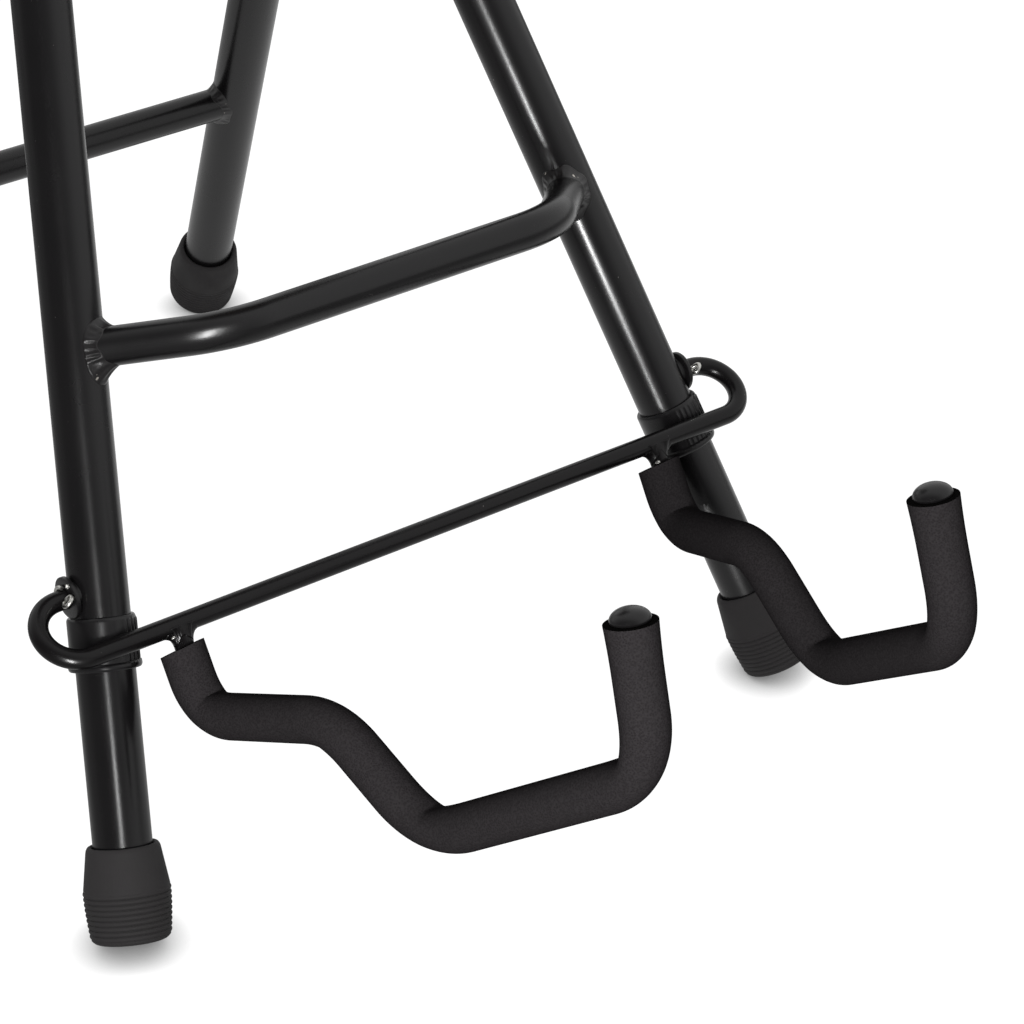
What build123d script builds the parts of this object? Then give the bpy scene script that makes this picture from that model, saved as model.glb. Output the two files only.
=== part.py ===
import math
import os

from build123d import *

os.makedirs("parts", exist_ok=True)

# All sizes in millimetres, +Z up, floor at Z = 0, the sitter faces -Y

# Tube, wire and sleeve sizes
leg_od = 28.0
leg_wall = 1.6
rung_od = 18.5
rung_wall = 1.5
wire_od = 9.5
foam_od = 22.0

# Fits
run_clear = 0.10
rest_clear = 0.30

# The origin lies on the floor under the middle of the whole outline
frame_shift = 116.28

# Legs: straight axes, how far each moves in and back per unit of height
front_splay = 0.223
front_lean = 0.465
rear_splay = 0.121
rear_lean = 0.499

# Heights
bar_z = 138.8
footrest_z = 250.0
rear_rung_z = 172.5
ring_z = 566.0

# Rubber feet, lengths along the leg axis
foot_bottom = 7.0
foot_top = 52.0
foot_base_r = 18.9
foot_belly_r = 20.5
foot_belly = 23.0
foot_rim_r = 17.3
foot_floor = 6.0
foot_round = 2.0
foot_lip = 1.5
foot_mouth = 0.9
foot_ribs = 8
foot_groove = 0.6

# Collar, saddle washer and cotter pin of the cradle pivot
pivot_rise = 14.2
collar_below = 8.6
collar_r = 16.0
collar_len = 24.6
collar_lip = 1.2
collar_lip_len = 3.0
collar_top_band = 1.5
rib_count = 9
rib_pitch_deg = 13.0
rib_depth = 0.7
rib_width = 1.5
washer_r = 10.0
washer_face = 4.4
washer_edge = 0.8
wire_end_in = 9.0
cotter_r = 1.2
cotter_hole_clear = 0.2
cotter_out = 2.6
cotter_tail = 3.4
cotter_tip_r = 1.0
cotter_tip_len = 10.0
cotter_tip_gap = 1.8
cotter_eye_r = 2.6
cotter_eye_out = 5.2
loop_start = 26.6

# Cradle arms: bends measured from the bar axis, out to the front and up or down
arm_inset = 23.881
arm_splay = 0.180
arm_tilt = 0.097
heel_lean = 0.482
heel_run = 1.34
hump_out = 99.5
hump_drop = 4.9
trough_out = 163.8
trough_drop = 36.1
toe_out = 281.3
toe_rise = 50.4
tip_out = 260.8
tip_rise = 114.3
arm_bend_r = 32.0
foam_start = 12.5
cap_r = 8.25
cap_height = 6.5
cap_rim = 1.2
cap_socket = 3.0

# Footrest rung: bow measured from the leg axes, forward
rung_bow = 54.0
rung_lean = 0.33
rung_corner_in = 50.25
rung_bend_r = 45.0

# Rear frame hinge
hinge_drop = 51.48
hinge_back = 38.0
hinge_play = 0.5
hinge_bolt_r = 4.0
lug_thick = 5.0
lug_offset = 7.0
lug_r = 13.0
lug_half = 16.0
stub_len = 26.0
tab_thick = 4.0
tab_len = 16.0
tab_up = 18.2
tab_reach = 5.0
nut_af = 13.0
nut_len = 6.5
bolt_flange_r = 8.0
bolt_flange = 1.2
bolt_head_len = 5.3
bolt_end = 2.0
spacer_r = 9.0
spacer_len = 5.8
plug_rim = 1.5
plug_dome = 4.0
plug_depth = 14.0
plug_lead = 2.0
plug_bolt_clear = 4.0

# Seat
ring_half_x = 71.782
ring_half_y = 85.0
ring_corner_r = 28.0
seat_gap = 3.0
board_r = 150.0
board_thick = 12.0
board_edge = 1.5
block_in = 5.78
block_width = 20.0
block_r = 14.5
block_flange = 52.0
block_flange_thick = 4.0
block_screw_in = 6.0
buffer_depth = 26.0
buffer_lift = 3.0
buffer_round = 3.0
seat_screw_r = 2.5
seat_screw_head_r = 4.6
seat_screw_head = 3.0
seat_screw_in = 9.0
cushion_over = 15.0
cushion_side = 38.0
cushion_crown = 14.0
seam_in = 7.0
skirt_in = 2.0
piping_r = 3.0

# Values that follow from the sizes above
leg_r = leg_od / 2
rung_r = rung_od / 2
wire_r = wire_od / 2
foam_r = foam_od / 2
hinge_z = ring_z - hinge_drop
foot_span = hinge_z * (front_lean + rear_lean) + hinge_back
front_y = frame_shift - foot_span / 2
rear_y = frame_shift + foot_span / 2
front_half = ring_half_x + front_splay * ring_z
lug_x = front_half - front_splay * hinge_z + lug_offset
lug_out_x = lug_x + lug_thick / 2
lug_in_x = lug_x - lug_thick / 2
spacer_out_x = lug_out_x + spacer_len
rear_hinge_x = spacer_out_x + hinge_play + rear_splay * spacer_r + leg_od / 2
rear_half = rear_hinge_x + rear_splay * hinge_z
front_stretch = math.sqrt(1 + front_splay**2 + front_lean**2)
rear_stretch = math.sqrt(1 + rear_splay**2 + rear_lean**2)
lean_stretch = math.sqrt(1 + front_lean**2)
front_dir = Vector(front_splay, front_lean, 1).normalized()
rear_dir = Vector(rear_splay, -rear_lean, 1).normalized()
hinge_y = rear_y - rear_lean * hinge_z
pivot_z = bar_z + pivot_rise
collar_z = bar_z - collar_below
pivot_y = front_y + front_lean * pivot_z
pivot_x = front_half - front_splay * pivot_z
bar_y = front_y + front_lean * bar_z - (collar_r + rest_clear + wire_r) * lean_stretch
washer_x = pivot_x + leg_r + washer_face
cotter_x = washer_x + cotter_out
loop_x = pivot_x + loop_start
arm_root_x = pivot_x - arm_inset
heel_drop = (foam_start + heel_run + arm_bend_r) / math.sqrt(1 + heel_lean**2)
arm_bends = [(-heel_lean * heel_drop, -heel_drop), (-hump_out, -hump_drop)]
arm_bends = arm_bends + [(-trough_out, -trough_drop), (-toe_out, toe_rise)]
ring_x = ring_half_x
ring_y = front_y + front_lean * ring_z
seat_z = ring_z + rung_r + seat_gap
board_top = seat_z + board_thick
block_x = ring_x - ring_corner_r - block_width / 2 - block_in
cushion_r = board_r + cushion_over
cut_len = 10 * leg_od


def front_at(z):
    """Point on the axis of the left front leg at height z."""
    return Vector(-(front_half - front_splay * z), front_y + front_lean * z, z)


def rear_at(z):
    """Point on the axis of the left rear leg at height z."""
    return Vector(-(rear_half - rear_splay * z), rear_y - rear_lean * z, z)


def across(origin, direction):
    """Plane through origin, square to a direction, its x axis turned to the front."""
    forward = Vector(0, -1, 0)
    forward = forward - direction * forward.dot(direction)
    return Plane(origin=origin, x_dir=forward, z_dir=direction)


def along(origin, direction):
    """Plane that holds a leg axis, local y up the leg, for turned profiles."""
    square = across(origin, direction)
    return Plane(origin=origin, x_dir=square.x_dir, z_dir=square.x_dir.cross(direction))


def bent(corners, radius):
    """Straight runs and tangent arcs through a list of corners, in the open line."""
    start = corners[0]
    for before, corner, after in zip(corners, corners[1:], corners[2:]):
        back = (before - corner).normalized()
        ahead = (after - corner).normalized()
        half = math.acos(max(-1.0, min(1.0, back.dot(ahead)))) / 2
        reach = radius / math.tan(half)
        middle = (back + ahead).normalized()
        arc_in = corner + back * reach
        arc_out = corner + ahead * reach
        arc_mid = corner + middle * (radius / math.sin(half) - radius)
        Line(start, arc_in)
        ThreePointArc(arc_in, arc_mid, arc_out)
        start = arc_out
    Line(start, corners[-1])


def dome_mid(radius, base, top):
    """Middle of a round dome profile from its rim to the axis."""
    ball = (radius**2 + (top - base) ** 2) / (2 * (top - base))
    turn = math.asin(radius / ball) / 2
    return (ball * math.sin(turn), top - ball + ball * math.cos(turn))


def arm_at(forward, up):
    """Point of the left arm's flat bend, from its offsets to the bar axis."""
    x = arm_root_x + arm_splay * forward - arm_tilt * up
    return Vector(-x, bar_y + forward, bar_z + up)


# Half section of a rubber foot: out from the leg axis, up the leg, ribbed below its belly
foot_section = [(0, foot_bottom), (foot_base_r - foot_round, foot_bottom)]
foot_section.append((foot_base_r, foot_bottom + foot_round))
rib_low = foot_bottom + foot_round + foot_groove
rib_pitch = (foot_bottom + foot_belly - rib_low) / foot_ribs
for rib in range(foot_ribs):
    crest = foot_base_r + (foot_belly_r - foot_base_r) * (rib + 0.5) / foot_ribs
    foot_section.append((crest - foot_groove, rib_low + rib_pitch * rib))
    foot_section.append((crest, rib_low + rib_pitch * (rib + 0.3)))
    foot_section.append((crest, rib_low + rib_pitch * (rib + 0.75)))
foot_section += [
    (foot_belly_r - foot_groove, foot_bottom + foot_belly),
    (foot_rim_r, foot_top - foot_lip),
    (foot_rim_r - foot_lip, foot_top),
    (leg_r + foot_mouth, foot_top),
    (leg_r, foot_top - foot_lip),
    (leg_r, foot_bottom + foot_floor),
    (0, foot_bottom + foot_floor),
]
foot_cut = 4 * foot_belly_r


# Front frame

front_start = front_at((foot_bottom + foot_floor) / front_stretch)
front_len = (ring_z - front_start.Z) * front_stretch
with BuildPart() as front_left_leg:
    with BuildSketch(across(front_start, front_dir)):
        Circle(leg_r)
        Circle(leg_r - leg_wall, mode=Mode.SUBTRACT)
    extrude(amount=front_len)
    with BuildSketch(Plane(origin=(-pivot_x, pivot_y, pivot_z), z_dir=(-1, 0, 0))):
        Circle(wire_r + rest_clear)
    extrude(amount=leg_od, mode=Mode.SUBTRACT)
    with BuildSketch(Plane(origin=(-ring_x, ring_y - leg_od, ring_z), z_dir=(0, 1, 0))):
        Circle(rung_r)
    extrude(amount=2 * leg_od, mode=Mode.SUBTRACT)

with BuildPart() as front_right_leg:
    mirror(front_left_leg.part, about=Plane.YZ)

rung_front_y = front_y + front_lean * footrest_z - rung_bow
rung_front_z = footrest_z + rung_lean * rung_bow
rung_end = front_at(footrest_z)
rung_corner_x = -rung_end.X - rung_corner_in
with BuildPart() as footrest_rung:
    with BuildLine() as rung_path:
        bent(
            [
                rung_end,
                Vector(-rung_corner_x, rung_front_y, rung_front_z),
                Vector(rung_corner_x, rung_front_y, rung_front_z),
                Vector(-rung_end.X, rung_end.Y, rung_end.Z),
            ],
            rung_bend_r,
        )
    with BuildSketch(Plane(origin=rung_path.line @ 0, z_dir=rung_path.line % 0)):
        Circle(rung_r)
        Circle(rung_r - rung_wall, mode=Mode.SUBTRACT)
    sweep()
    with BuildSketch(across(front_at(footrest_z - cut_len / 2), front_dir)):
        Circle(leg_r)
    extrude(amount=cut_len, mode=Mode.SUBTRACT)
    right_dir = Vector(-front_dir.X, front_dir.Y, front_dir.Z)
    right_start = front_at(footrest_z - cut_len / 2)
    with BuildSketch(across(Vector(-right_start.X, right_start.Y, right_start.Z), right_dir)):
        Circle(leg_r)
    extrude(amount=cut_len, mode=Mode.SUBTRACT)

with BuildPart() as seat_ring:
    with BuildLine() as ring_path:
        bent(
            [
                Vector(0, ring_y - ring_half_y, ring_z),
                Vector(ring_x, ring_y - ring_half_y, ring_z),
                Vector(ring_x, ring_y + ring_half_y, ring_z),
                Vector(-ring_x, ring_y + ring_half_y, ring_z),
                Vector(-ring_x, ring_y - ring_half_y, ring_z),
                Vector(0, ring_y - ring_half_y, ring_z),
            ],
            ring_corner_r,
        )
    with BuildSketch(Plane(origin=ring_path.line @ 0, z_dir=ring_path.line % 0)):
        Circle(rung_r)
        Circle(rung_r - rung_wall, mode=Mode.SUBTRACT)
    sweep()

stub_up = Vector(0, -rear_lean, 1).normalized()
stub_front = Vector(0, -1, -rear_lean).normalized()
tab_mid = Vector(0, hinge_y, hinge_z) + stub_up * tab_up
tab_mid = tab_mid + stub_front * (leg_r + hinge_play + tab_thick / 2)
lug_low = front_at(hinge_z - lug_half)
lug_high = front_at(hinge_z + lug_half)
tab_out_x = rear_hinge_x + tab_reach
with BuildPart() as left_hinge_lug:
    lug_plane = Plane(
        origin=(-lug_x + lug_thick / 2, hinge_y, hinge_z), x_dir=(0, 1, 0), z_dir=(1, 0, 0)
    )
    with BuildSketch(lug_plane):
        Circle(lug_r)
        with BuildLine():
            Polyline(
                (lug_low.Y - hinge_y, lug_low.Z - hinge_z),
                (0, -lug_r),
                (0, lug_r),
                (lug_high.Y - hinge_y, lug_high.Z - hinge_z),
                close=True,
            )
        make_face()
        Circle(hinge_bolt_r, mode=Mode.SUBTRACT)
    extrude(amount=-lug_thick)
    tab_plane = Plane(
        origin=(-tab_out_x, tab_mid.Y, tab_mid.Z), x_dir=stub_up, z_dir=(1, 0, 0)
    )
    with BuildSketch(tab_plane):
        RectangleRounded(tab_len, tab_thick, tab_thick / 4)
    extrude(amount=tab_out_x - lug_in_x)
    with BuildSketch(across(front_at(hinge_z - cut_len / 2), front_dir)):
        Circle(leg_r)
    extrude(amount=cut_len, mode=Mode.SUBTRACT)

with BuildPart() as right_hinge_lug:
    mirror(left_hinge_lug.part, about=Plane.YZ)

with BuildPart() as front_left_foot:
    with BuildSketch(along(front_at(0), front_dir)):
        with BuildLine():
            Polyline(*foot_section, close=True)
        make_face()
    revolve(axis=Axis(front_at(0), front_dir))
    with Locations((-front_half, front_y, -foot_cut / 2)):
        Box(foot_cut, foot_cut, foot_cut, mode=Mode.SUBTRACT)

with BuildPart() as front_right_foot:
    mirror(front_left_foot.part, about=Plane.YZ)

collar_base = front_at(collar_z) - front_dir * (collar_len / 2)
with BuildPart() as left_collar:
    with BuildSketch(across(collar_base, front_dir)):
        Circle(collar_r)
    extrude(amount=collar_len)
    with BuildSketch(across(collar_base, front_dir)):
        Circle(collar_r + collar_lip)
    extrude(amount=collar_lip_len)
    with BuildSketch(across(collar_base + front_dir * collar_lip_len, front_dir)):
        rib_angle = rib_pitch_deg * (rib_count - 1) / 2
        with PolarLocations(collar_r, rib_count, -rib_angle, 2 * rib_angle, endpoint=True):
            Rectangle(2 * rib_depth, rib_width)
    extrude(amount=collar_len - collar_lip_len - collar_top_band, mode=Mode.SUBTRACT)
    with BuildSketch(across(collar_base, front_dir)):
        Circle(leg_r)
    extrude(amount=collar_len, mode=Mode.SUBTRACT)

with BuildPart() as right_collar:
    mirror(left_collar.part, about=Plane.YZ)

with BuildPart() as left_pivot_washer:
    with BuildSketch(Plane(origin=(-pivot_x, pivot_y, pivot_z), z_dir=(-1, 0, 0))):
        Circle(washer_r)
        Circle(wire_r + run_clear, mode=Mode.SUBTRACT)
    extrude(amount=leg_r + washer_face)
    chamfer(faces().sort_by(Axis.X)[0].outer_wire().edges(), washer_edge)
    with BuildSketch(across(front_at(pivot_z - cut_len / 2), front_dir)):
        Circle(leg_r)
    extrude(amount=cut_len, mode=Mode.SUBTRACT)

with BuildPart() as right_pivot_washer:
    mirror(left_pivot_washer.part, about=Plane.YZ)

# Rear frame

rear_start = rear_at((foot_bottom + foot_floor) / rear_stretch)
rear_top = rear_at(hinge_z) + rear_dir * stub_len
with BuildPart() as rear_left_leg:
    with BuildSketch(across(rear_start, rear_dir)):
        Circle(leg_r)
        Circle(leg_r - leg_wall, mode=Mode.SUBTRACT)
    extrude(amount=(rear_top - rear_start).length)
    with BuildSketch(Plane(origin=(-rear_hinge_x - leg_od, hinge_y, hinge_z), z_dir=(1, 0, 0))):
        Circle(hinge_bolt_r + run_clear)
    extrude(amount=2 * leg_od, mode=Mode.SUBTRACT)

with BuildPart() as rear_right_leg:
    mirror(rear_left_leg.part, about=Plane.YZ)

rear_rung_mid = rear_at(rear_rung_z)
with BuildPart() as rear_rung:
    with BuildSketch(Plane(origin=rear_rung_mid, z_dir=(1, 0, 0))):
        Circle(rung_r)
        Circle(rung_r - rung_wall, mode=Mode.SUBTRACT)
    extrude(amount=-2 * rear_rung_mid.X)
    with BuildSketch(across(rear_at(rear_rung_z - cut_len / 2), rear_dir)):
        Circle(leg_r)
    extrude(amount=cut_len, mode=Mode.SUBTRACT)
    rear_right_dir = Vector(-rear_dir.X, rear_dir.Y, rear_dir.Z)
    rear_right_low = rear_at(rear_rung_z - cut_len / 2)
    with BuildSketch(
        across(Vector(-rear_right_low.X, rear_right_low.Y, rear_right_low.Z), rear_right_dir)
    ):
        Circle(leg_r)
    extrude(amount=cut_len, mode=Mode.SUBTRACT)

with BuildPart() as rear_left_foot:
    with BuildSketch(along(rear_at(0), rear_dir)):
        with BuildLine():
            Polyline(*foot_section, close=True)
        make_face()
    revolve(axis=Axis(rear_at(0), rear_dir))
    with Locations((-rear_half, rear_y, -foot_cut / 2)):
        Box(foot_cut, foot_cut, foot_cut, mode=Mode.SUBTRACT)

with BuildPart() as rear_right_foot:
    mirror(rear_left_foot.part, about=Plane.YZ)

with BuildPart() as left_leg_plug:
    with BuildSketch(along(rear_top, rear_dir)):
        with BuildLine():
            Polyline(
                (0, plug_rim + plug_dome),
                (0, -plug_depth),
                (leg_r - leg_wall - plug_lead, -plug_depth),
                (leg_r - leg_wall, -plug_depth + plug_lead),
                (leg_r - leg_wall, 0),
                (leg_r, 0),
                (leg_r, plug_rim),
            )
            plug_mid = dome_mid(leg_r, plug_rim, plug_rim + plug_dome)
            ThreePointArc((leg_r, plug_rim), plug_mid, (0, plug_rim + plug_dome))
        make_face()
    revolve(axis=Axis(rear_top, rear_dir))
    with BuildSketch(Plane(origin=(rear_top.X - leg_od, hinge_y, hinge_z), z_dir=(1, 0, 0))):
        Circle(hinge_bolt_r + plug_bolt_clear)
    extrude(amount=2 * leg_od, mode=Mode.SUBTRACT)

with BuildPart() as right_leg_plug:
    mirror(left_leg_plug.part, about=Plane.YZ)

# Hinge fasteners, one bolt, nut and spacer on each side

head_x = rear_hinge_x + leg_r + rear_splay * bolt_flange_r + hinge_play
bolt_end_x = lug_in_x - nut_len - bolt_end
with BuildPart() as hinge_bolts:
    with BuildSketch(Plane(origin=(-bolt_end_x, hinge_y, hinge_z), z_dir=(-1, 0, 0))):
        Circle(hinge_bolt_r)
    extrude(amount=head_x - bolt_end_x)
    with BuildSketch(Plane(origin=(-head_x, hinge_y, hinge_z), z_dir=(-1, 0, 0))):
        Circle(bolt_flange_r)
    extrude(amount=bolt_flange)
    with BuildSketch(
        Plane(origin=(-head_x - bolt_flange, hinge_y, hinge_z), z_dir=(-1, 0, 0))
    ):
        RegularPolygon(nut_af / 2, 6, major_radius=False)
    extrude(amount=bolt_head_len)
    mirror(about=Plane.YZ)

with BuildPart() as hinge_nuts:
    with BuildSketch(Plane(origin=(-lug_in_x, hinge_y, hinge_z), z_dir=(1, 0, 0))):
        RegularPolygon(nut_af / 2, 6, major_radius=False)
        Circle(hinge_bolt_r, mode=Mode.SUBTRACT)
    extrude(amount=nut_len)
    mirror(about=Plane.YZ)

with BuildPart() as hinge_spacers:
    with BuildSketch(Plane(origin=(-lug_out_x, hinge_y, hinge_z), z_dir=(-1, 0, 0))):
        Circle(spacer_r)
        Circle(hinge_bolt_r, mode=Mode.SUBTRACT)
    extrude(amount=spacer_out_x - lug_out_x)
    mirror(about=Plane.YZ)

# Guitar cradle

loop_r = math.hypot(pivot_y - bar_y, pivot_z - bar_z) / 2
loop_y = (pivot_y + bar_y) / 2
loop_z = (pivot_z + bar_z) / 2
with BuildPart() as cradle_yoke:
    with BuildLine() as yoke_path:
        Line((-pivot_x + wire_end_in, pivot_y, pivot_z), (-loop_x, pivot_y, pivot_z))
        ThreePointArc(
            (-loop_x, pivot_y, pivot_z), (-loop_x - loop_r, loop_y, loop_z), (-loop_x, bar_y, bar_z)
        )
        Line((-loop_x, bar_y, bar_z), (loop_x, bar_y, bar_z))
        ThreePointArc(
            (loop_x, bar_y, bar_z), (loop_x + loop_r, loop_y, loop_z), (loop_x, pivot_y, pivot_z)
        )
        Line((loop_x, pivot_y, pivot_z), (pivot_x - wire_end_in, pivot_y, pivot_z))
    with BuildSketch(Plane(origin=yoke_path.line @ 0, z_dir=yoke_path.line % 0)):
        Circle(wire_r)
    sweep()
    for side in (-1, 1):
        with BuildSketch(
            Plane(origin=(side * cotter_x, pivot_y - wire_od, pivot_z), z_dir=(0, 1, 0))
        ):
            Circle(cotter_r + cotter_hole_clear)
        extrude(amount=2 * wire_od, mode=Mode.SUBTRACT)

arm_corners = [arm_at(0, 0)] + [arm_at(*bend) for bend in arm_bends]
arm_corners = arm_corners + [arm_at(-tip_out, tip_rise)]
arm_end_dir = (arm_corners[-1] - arm_corners[-2]).normalized()
arm_root_dir = (arm_corners[1] - arm_corners[0]).normalized()
foam_corners = [arm_corners[0] + arm_root_dir * foam_start] + arm_corners[1:]
rod_corners = arm_corners[:-1] + [arm_corners[-1] + arm_end_dir * cap_socket]
with BuildPart() as left_arm_rod:
    with BuildLine() as rod_path:
        bent(rod_corners, arm_bend_r)
    with BuildSketch(Plane(origin=rod_path.line @ 0, z_dir=rod_path.line % 0)):
        Circle(wire_r)
    sweep()
    with BuildSketch(Plane(origin=(-arm_root_x - wire_od, bar_y, bar_z), z_dir=(1, 0, 0))):
        Circle(wire_r)
    extrude(amount=2 * wire_od, mode=Mode.SUBTRACT)

with BuildPart() as right_arm_rod:
    mirror(left_arm_rod.part, about=Plane.YZ)

with BuildPart() as left_foam_sleeve:
    with BuildLine() as foam_path:
        bent(foam_corners, arm_bend_r)
    with BuildSketch(Plane(origin=foam_path.line @ 0, z_dir=foam_path.line % 0)):
        Circle(foam_r)
        Circle(wire_r, mode=Mode.SUBTRACT)
    sweep()

with BuildPart() as right_foam_sleeve:
    mirror(left_foam_sleeve.part, about=Plane.YZ)

with BuildPart() as left_arm_cap:
    with BuildSketch(along(arm_corners[-1], arm_end_dir)):
        with BuildLine():
            Polyline(
                (0, cap_height),
                (0, cap_socket),
                (wire_r, cap_socket),
                (wire_r, 0),
                (cap_r, 0),
                (cap_r, cap_rim),
            )
            ThreePointArc((cap_r, cap_rim), dome_mid(cap_r, cap_rim, cap_height), (0, cap_height))
        make_face()
    revolve(axis=Axis(arm_corners[-1], arm_end_dir))

with BuildPart() as right_arm_cap:
    mirror(left_arm_cap.part, about=Plane.YZ)

with BuildPart() as cotter_pins:
    pin_front_y = pivot_y - wire_r - cotter_tail
    tip_y = pivot_y + wire_r + cotter_tip_gap
    with BuildSketch(Plane(origin=(-cotter_x, pin_front_y, pivot_z), z_dir=(0, 1, 0))):
        Circle(cotter_r)
    extrude(amount=tip_y - pin_front_y)
    with BuildSketch(
        Plane(origin=(-cotter_x, tip_y, pivot_z - cotter_tip_len / 2), z_dir=(0, 0, 1))
    ):
        Circle(cotter_tip_r)
    extrude(amount=cotter_tip_len)
    eye_mid = Vector(-cotter_x, pivot_y - wire_r - cotter_eye_out, pivot_z)
    with BuildSketch(Plane(origin=eye_mid, x_dir=(0, 1, 0), z_dir=(0, 0, 1))):
        with Locations((cotter_eye_r, 0)):
            Circle(cotter_tip_r)
    revolve(axis=Axis(eye_mid, (1, 0, 0)))
    mirror(about=Plane.YZ)

# Seat

rear_member_y = ring_y + ring_half_y
front_member_y = ring_y - ring_half_y
block_top = seat_z - ring_z
screw_y = block_flange / 2 - block_screw_in
with BuildPart() as left_seat_block:
    with BuildSketch(
        Plane(
            origin=(-block_x - block_width / 2, rear_member_y, ring_z),
            x_dir=(0, 1, 0),
            z_dir=(1, 0, 0),
        )
    ):
        Circle(block_r)
        with Locations((0, block_top / 2)):
            Rectangle(2 * block_r, block_top)
        with Locations((0, block_top - block_flange_thick / 2)):
            Rectangle(block_flange, block_flange_thick)
        with Locations((0, block_top + block_r / 2)):
            Rectangle(3 * block_r, block_r, mode=Mode.SUBTRACT)
        Circle(rung_r + run_clear, mode=Mode.SUBTRACT)
    extrude(amount=block_width)
    with BuildSketch(Plane(origin=(-block_x, rear_member_y, seat_z))):
        with Locations((0, -screw_y), (0, screw_y)):
            Circle(seat_screw_r)
    extrude(amount=-block_flange_thick, mode=Mode.SUBTRACT)

with BuildPart() as right_seat_block:
    mirror(left_seat_block.part, about=Plane.YZ)

with BuildPart() as seat_buffers:
    with BuildSketch(Plane(origin=(0, front_member_y, seat_z))):
        with Locations((-block_x, 0), (block_x, 0)):
            RectangleRounded(block_width, buffer_depth, buffer_round)
    extrude(amount=-(block_top - buffer_lift))
    with BuildSketch(Plane(origin=(-ring_x, front_member_y, ring_z), z_dir=(1, 0, 0))):
        Circle(rung_r + rest_clear)
    extrude(amount=2 * ring_x, mode=Mode.SUBTRACT)

with BuildPart() as seat_screws:
    with BuildSketch(Plane(origin=(0, rear_member_y, seat_z - block_flange_thick))):
        with GridLocations(2 * block_x, 2 * screw_y, 2, 2):
            Circle(seat_screw_head_r)
    extrude(amount=-seat_screw_head)
    with BuildSketch(Plane(origin=(0, rear_member_y, seat_z - block_flange_thick))):
        with GridLocations(2 * block_x, 2 * screw_y, 2, 2):
            Circle(seat_screw_r)
    extrude(amount=block_flange_thick + seat_screw_in)

with BuildPart() as seat_board:
    with BuildSketch(Plane(origin=(0, ring_y, seat_z))):
        Circle(board_r)
    extrude(amount=board_thick)
    chamfer(edges().group_by(Axis.Z)[0], board_edge)
    with BuildSketch(Plane(origin=(0, rear_member_y, seat_z))):
        with GridLocations(2 * block_x, 2 * screw_y, 2, 2):
            Circle(seat_screw_r)
    extrude(amount=seat_screw_in, mode=Mode.SUBTRACT)

seam_r = cushion_r - seam_in
seam_z = board_top + cushion_side
seat_axis = Axis((0, ring_y, 0), (0, 0, 1))
with BuildPart() as seat_cushion:
    with BuildSketch(Plane(origin=(0, ring_y, 0), x_dir=(1, 0, 0), z_dir=(0, -1, 0))):
        with BuildLine():
            Polyline(
                (0, board_top),
                (board_r, board_top),
                (board_r, seat_z + board_edge),
                (seam_r - skirt_in, seat_z + board_edge),
            )
            Spline(
                (seam_r - skirt_in, seat_z + board_edge),
                (cushion_r, (seat_z + seam_z) / 2 + skirt_in),
                (seam_r, seam_z),
            )
            Spline(
                (seam_r, seam_z),
                (seam_r * 0.72, seam_z + cushion_crown * 0.72),
                (0, seam_z + cushion_crown),
                tangents=((-0.9, 0.62), (-1, 0)),
            )
            Line((0, seam_z + cushion_crown), (0, board_top))
        make_face()
    revolve(axis=seat_axis)
    with BuildSketch(Plane(origin=(0, ring_y, 0), x_dir=(1, 0, 0), z_dir=(0, -1, 0))):
        with Locations((seam_r, seam_z)):
            Circle(piping_r)
    revolve(axis=seat_axis, mode=Mode.SUBTRACT)

with BuildPart() as seat_piping:
    with BuildSketch(Plane(origin=(0, ring_y, 0), x_dir=(1, 0, 0), z_dir=(0, -1, 0))):
        with Locations((seam_r, seam_z)):
            Circle(piping_r)
    revolve(axis=seat_axis)

front_left_leg.part.label = "front_left_leg"
front_right_leg.part.label = "front_right_leg"
footrest_rung.part.label = "footrest_rung"
seat_ring.part.label = "seat_ring"
left_hinge_lug.part.label = "left_hinge_lug"
right_hinge_lug.part.label = "right_hinge_lug"
front_left_foot.part.label = "front_left_foot"
front_right_foot.part.label = "front_right_foot"
left_collar.part.label = "left_collar"
right_collar.part.label = "right_collar"
left_pivot_washer.part.label = "left_pivot_washer"
right_pivot_washer.part.label = "right_pivot_washer"
rear_left_leg.part.label = "rear_left_leg"
rear_right_leg.part.label = "rear_right_leg"
rear_rung.part.label = "rear_rung"
rear_left_foot.part.label = "rear_left_foot"
rear_right_foot.part.label = "rear_right_foot"
left_leg_plug.part.label = "left_leg_plug"
right_leg_plug.part.label = "right_leg_plug"
hinge_bolts.part.label = "hinge_bolts"
hinge_nuts.part.label = "hinge_nuts"
hinge_spacers.part.label = "hinge_spacers"
cradle_yoke.part.label = "cradle_yoke"
left_arm_rod.part.label = "left_arm_rod"
right_arm_rod.part.label = "right_arm_rod"
left_foam_sleeve.part.label = "left_foam_sleeve"
right_foam_sleeve.part.label = "right_foam_sleeve"
left_arm_cap.part.label = "left_arm_cap"
right_arm_cap.part.label = "right_arm_cap"
cotter_pins.part.label = "cotter_pins"
left_seat_block.part.label = "left_seat_block"
right_seat_block.part.label = "right_seat_block"
seat_buffers.part.label = "seat_buffers"
seat_screws.part.label = "seat_screws"
seat_board.part.label = "seat_board"
seat_cushion.part.label = "seat_cushion"
seat_piping.part.label = "seat_piping"

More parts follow.
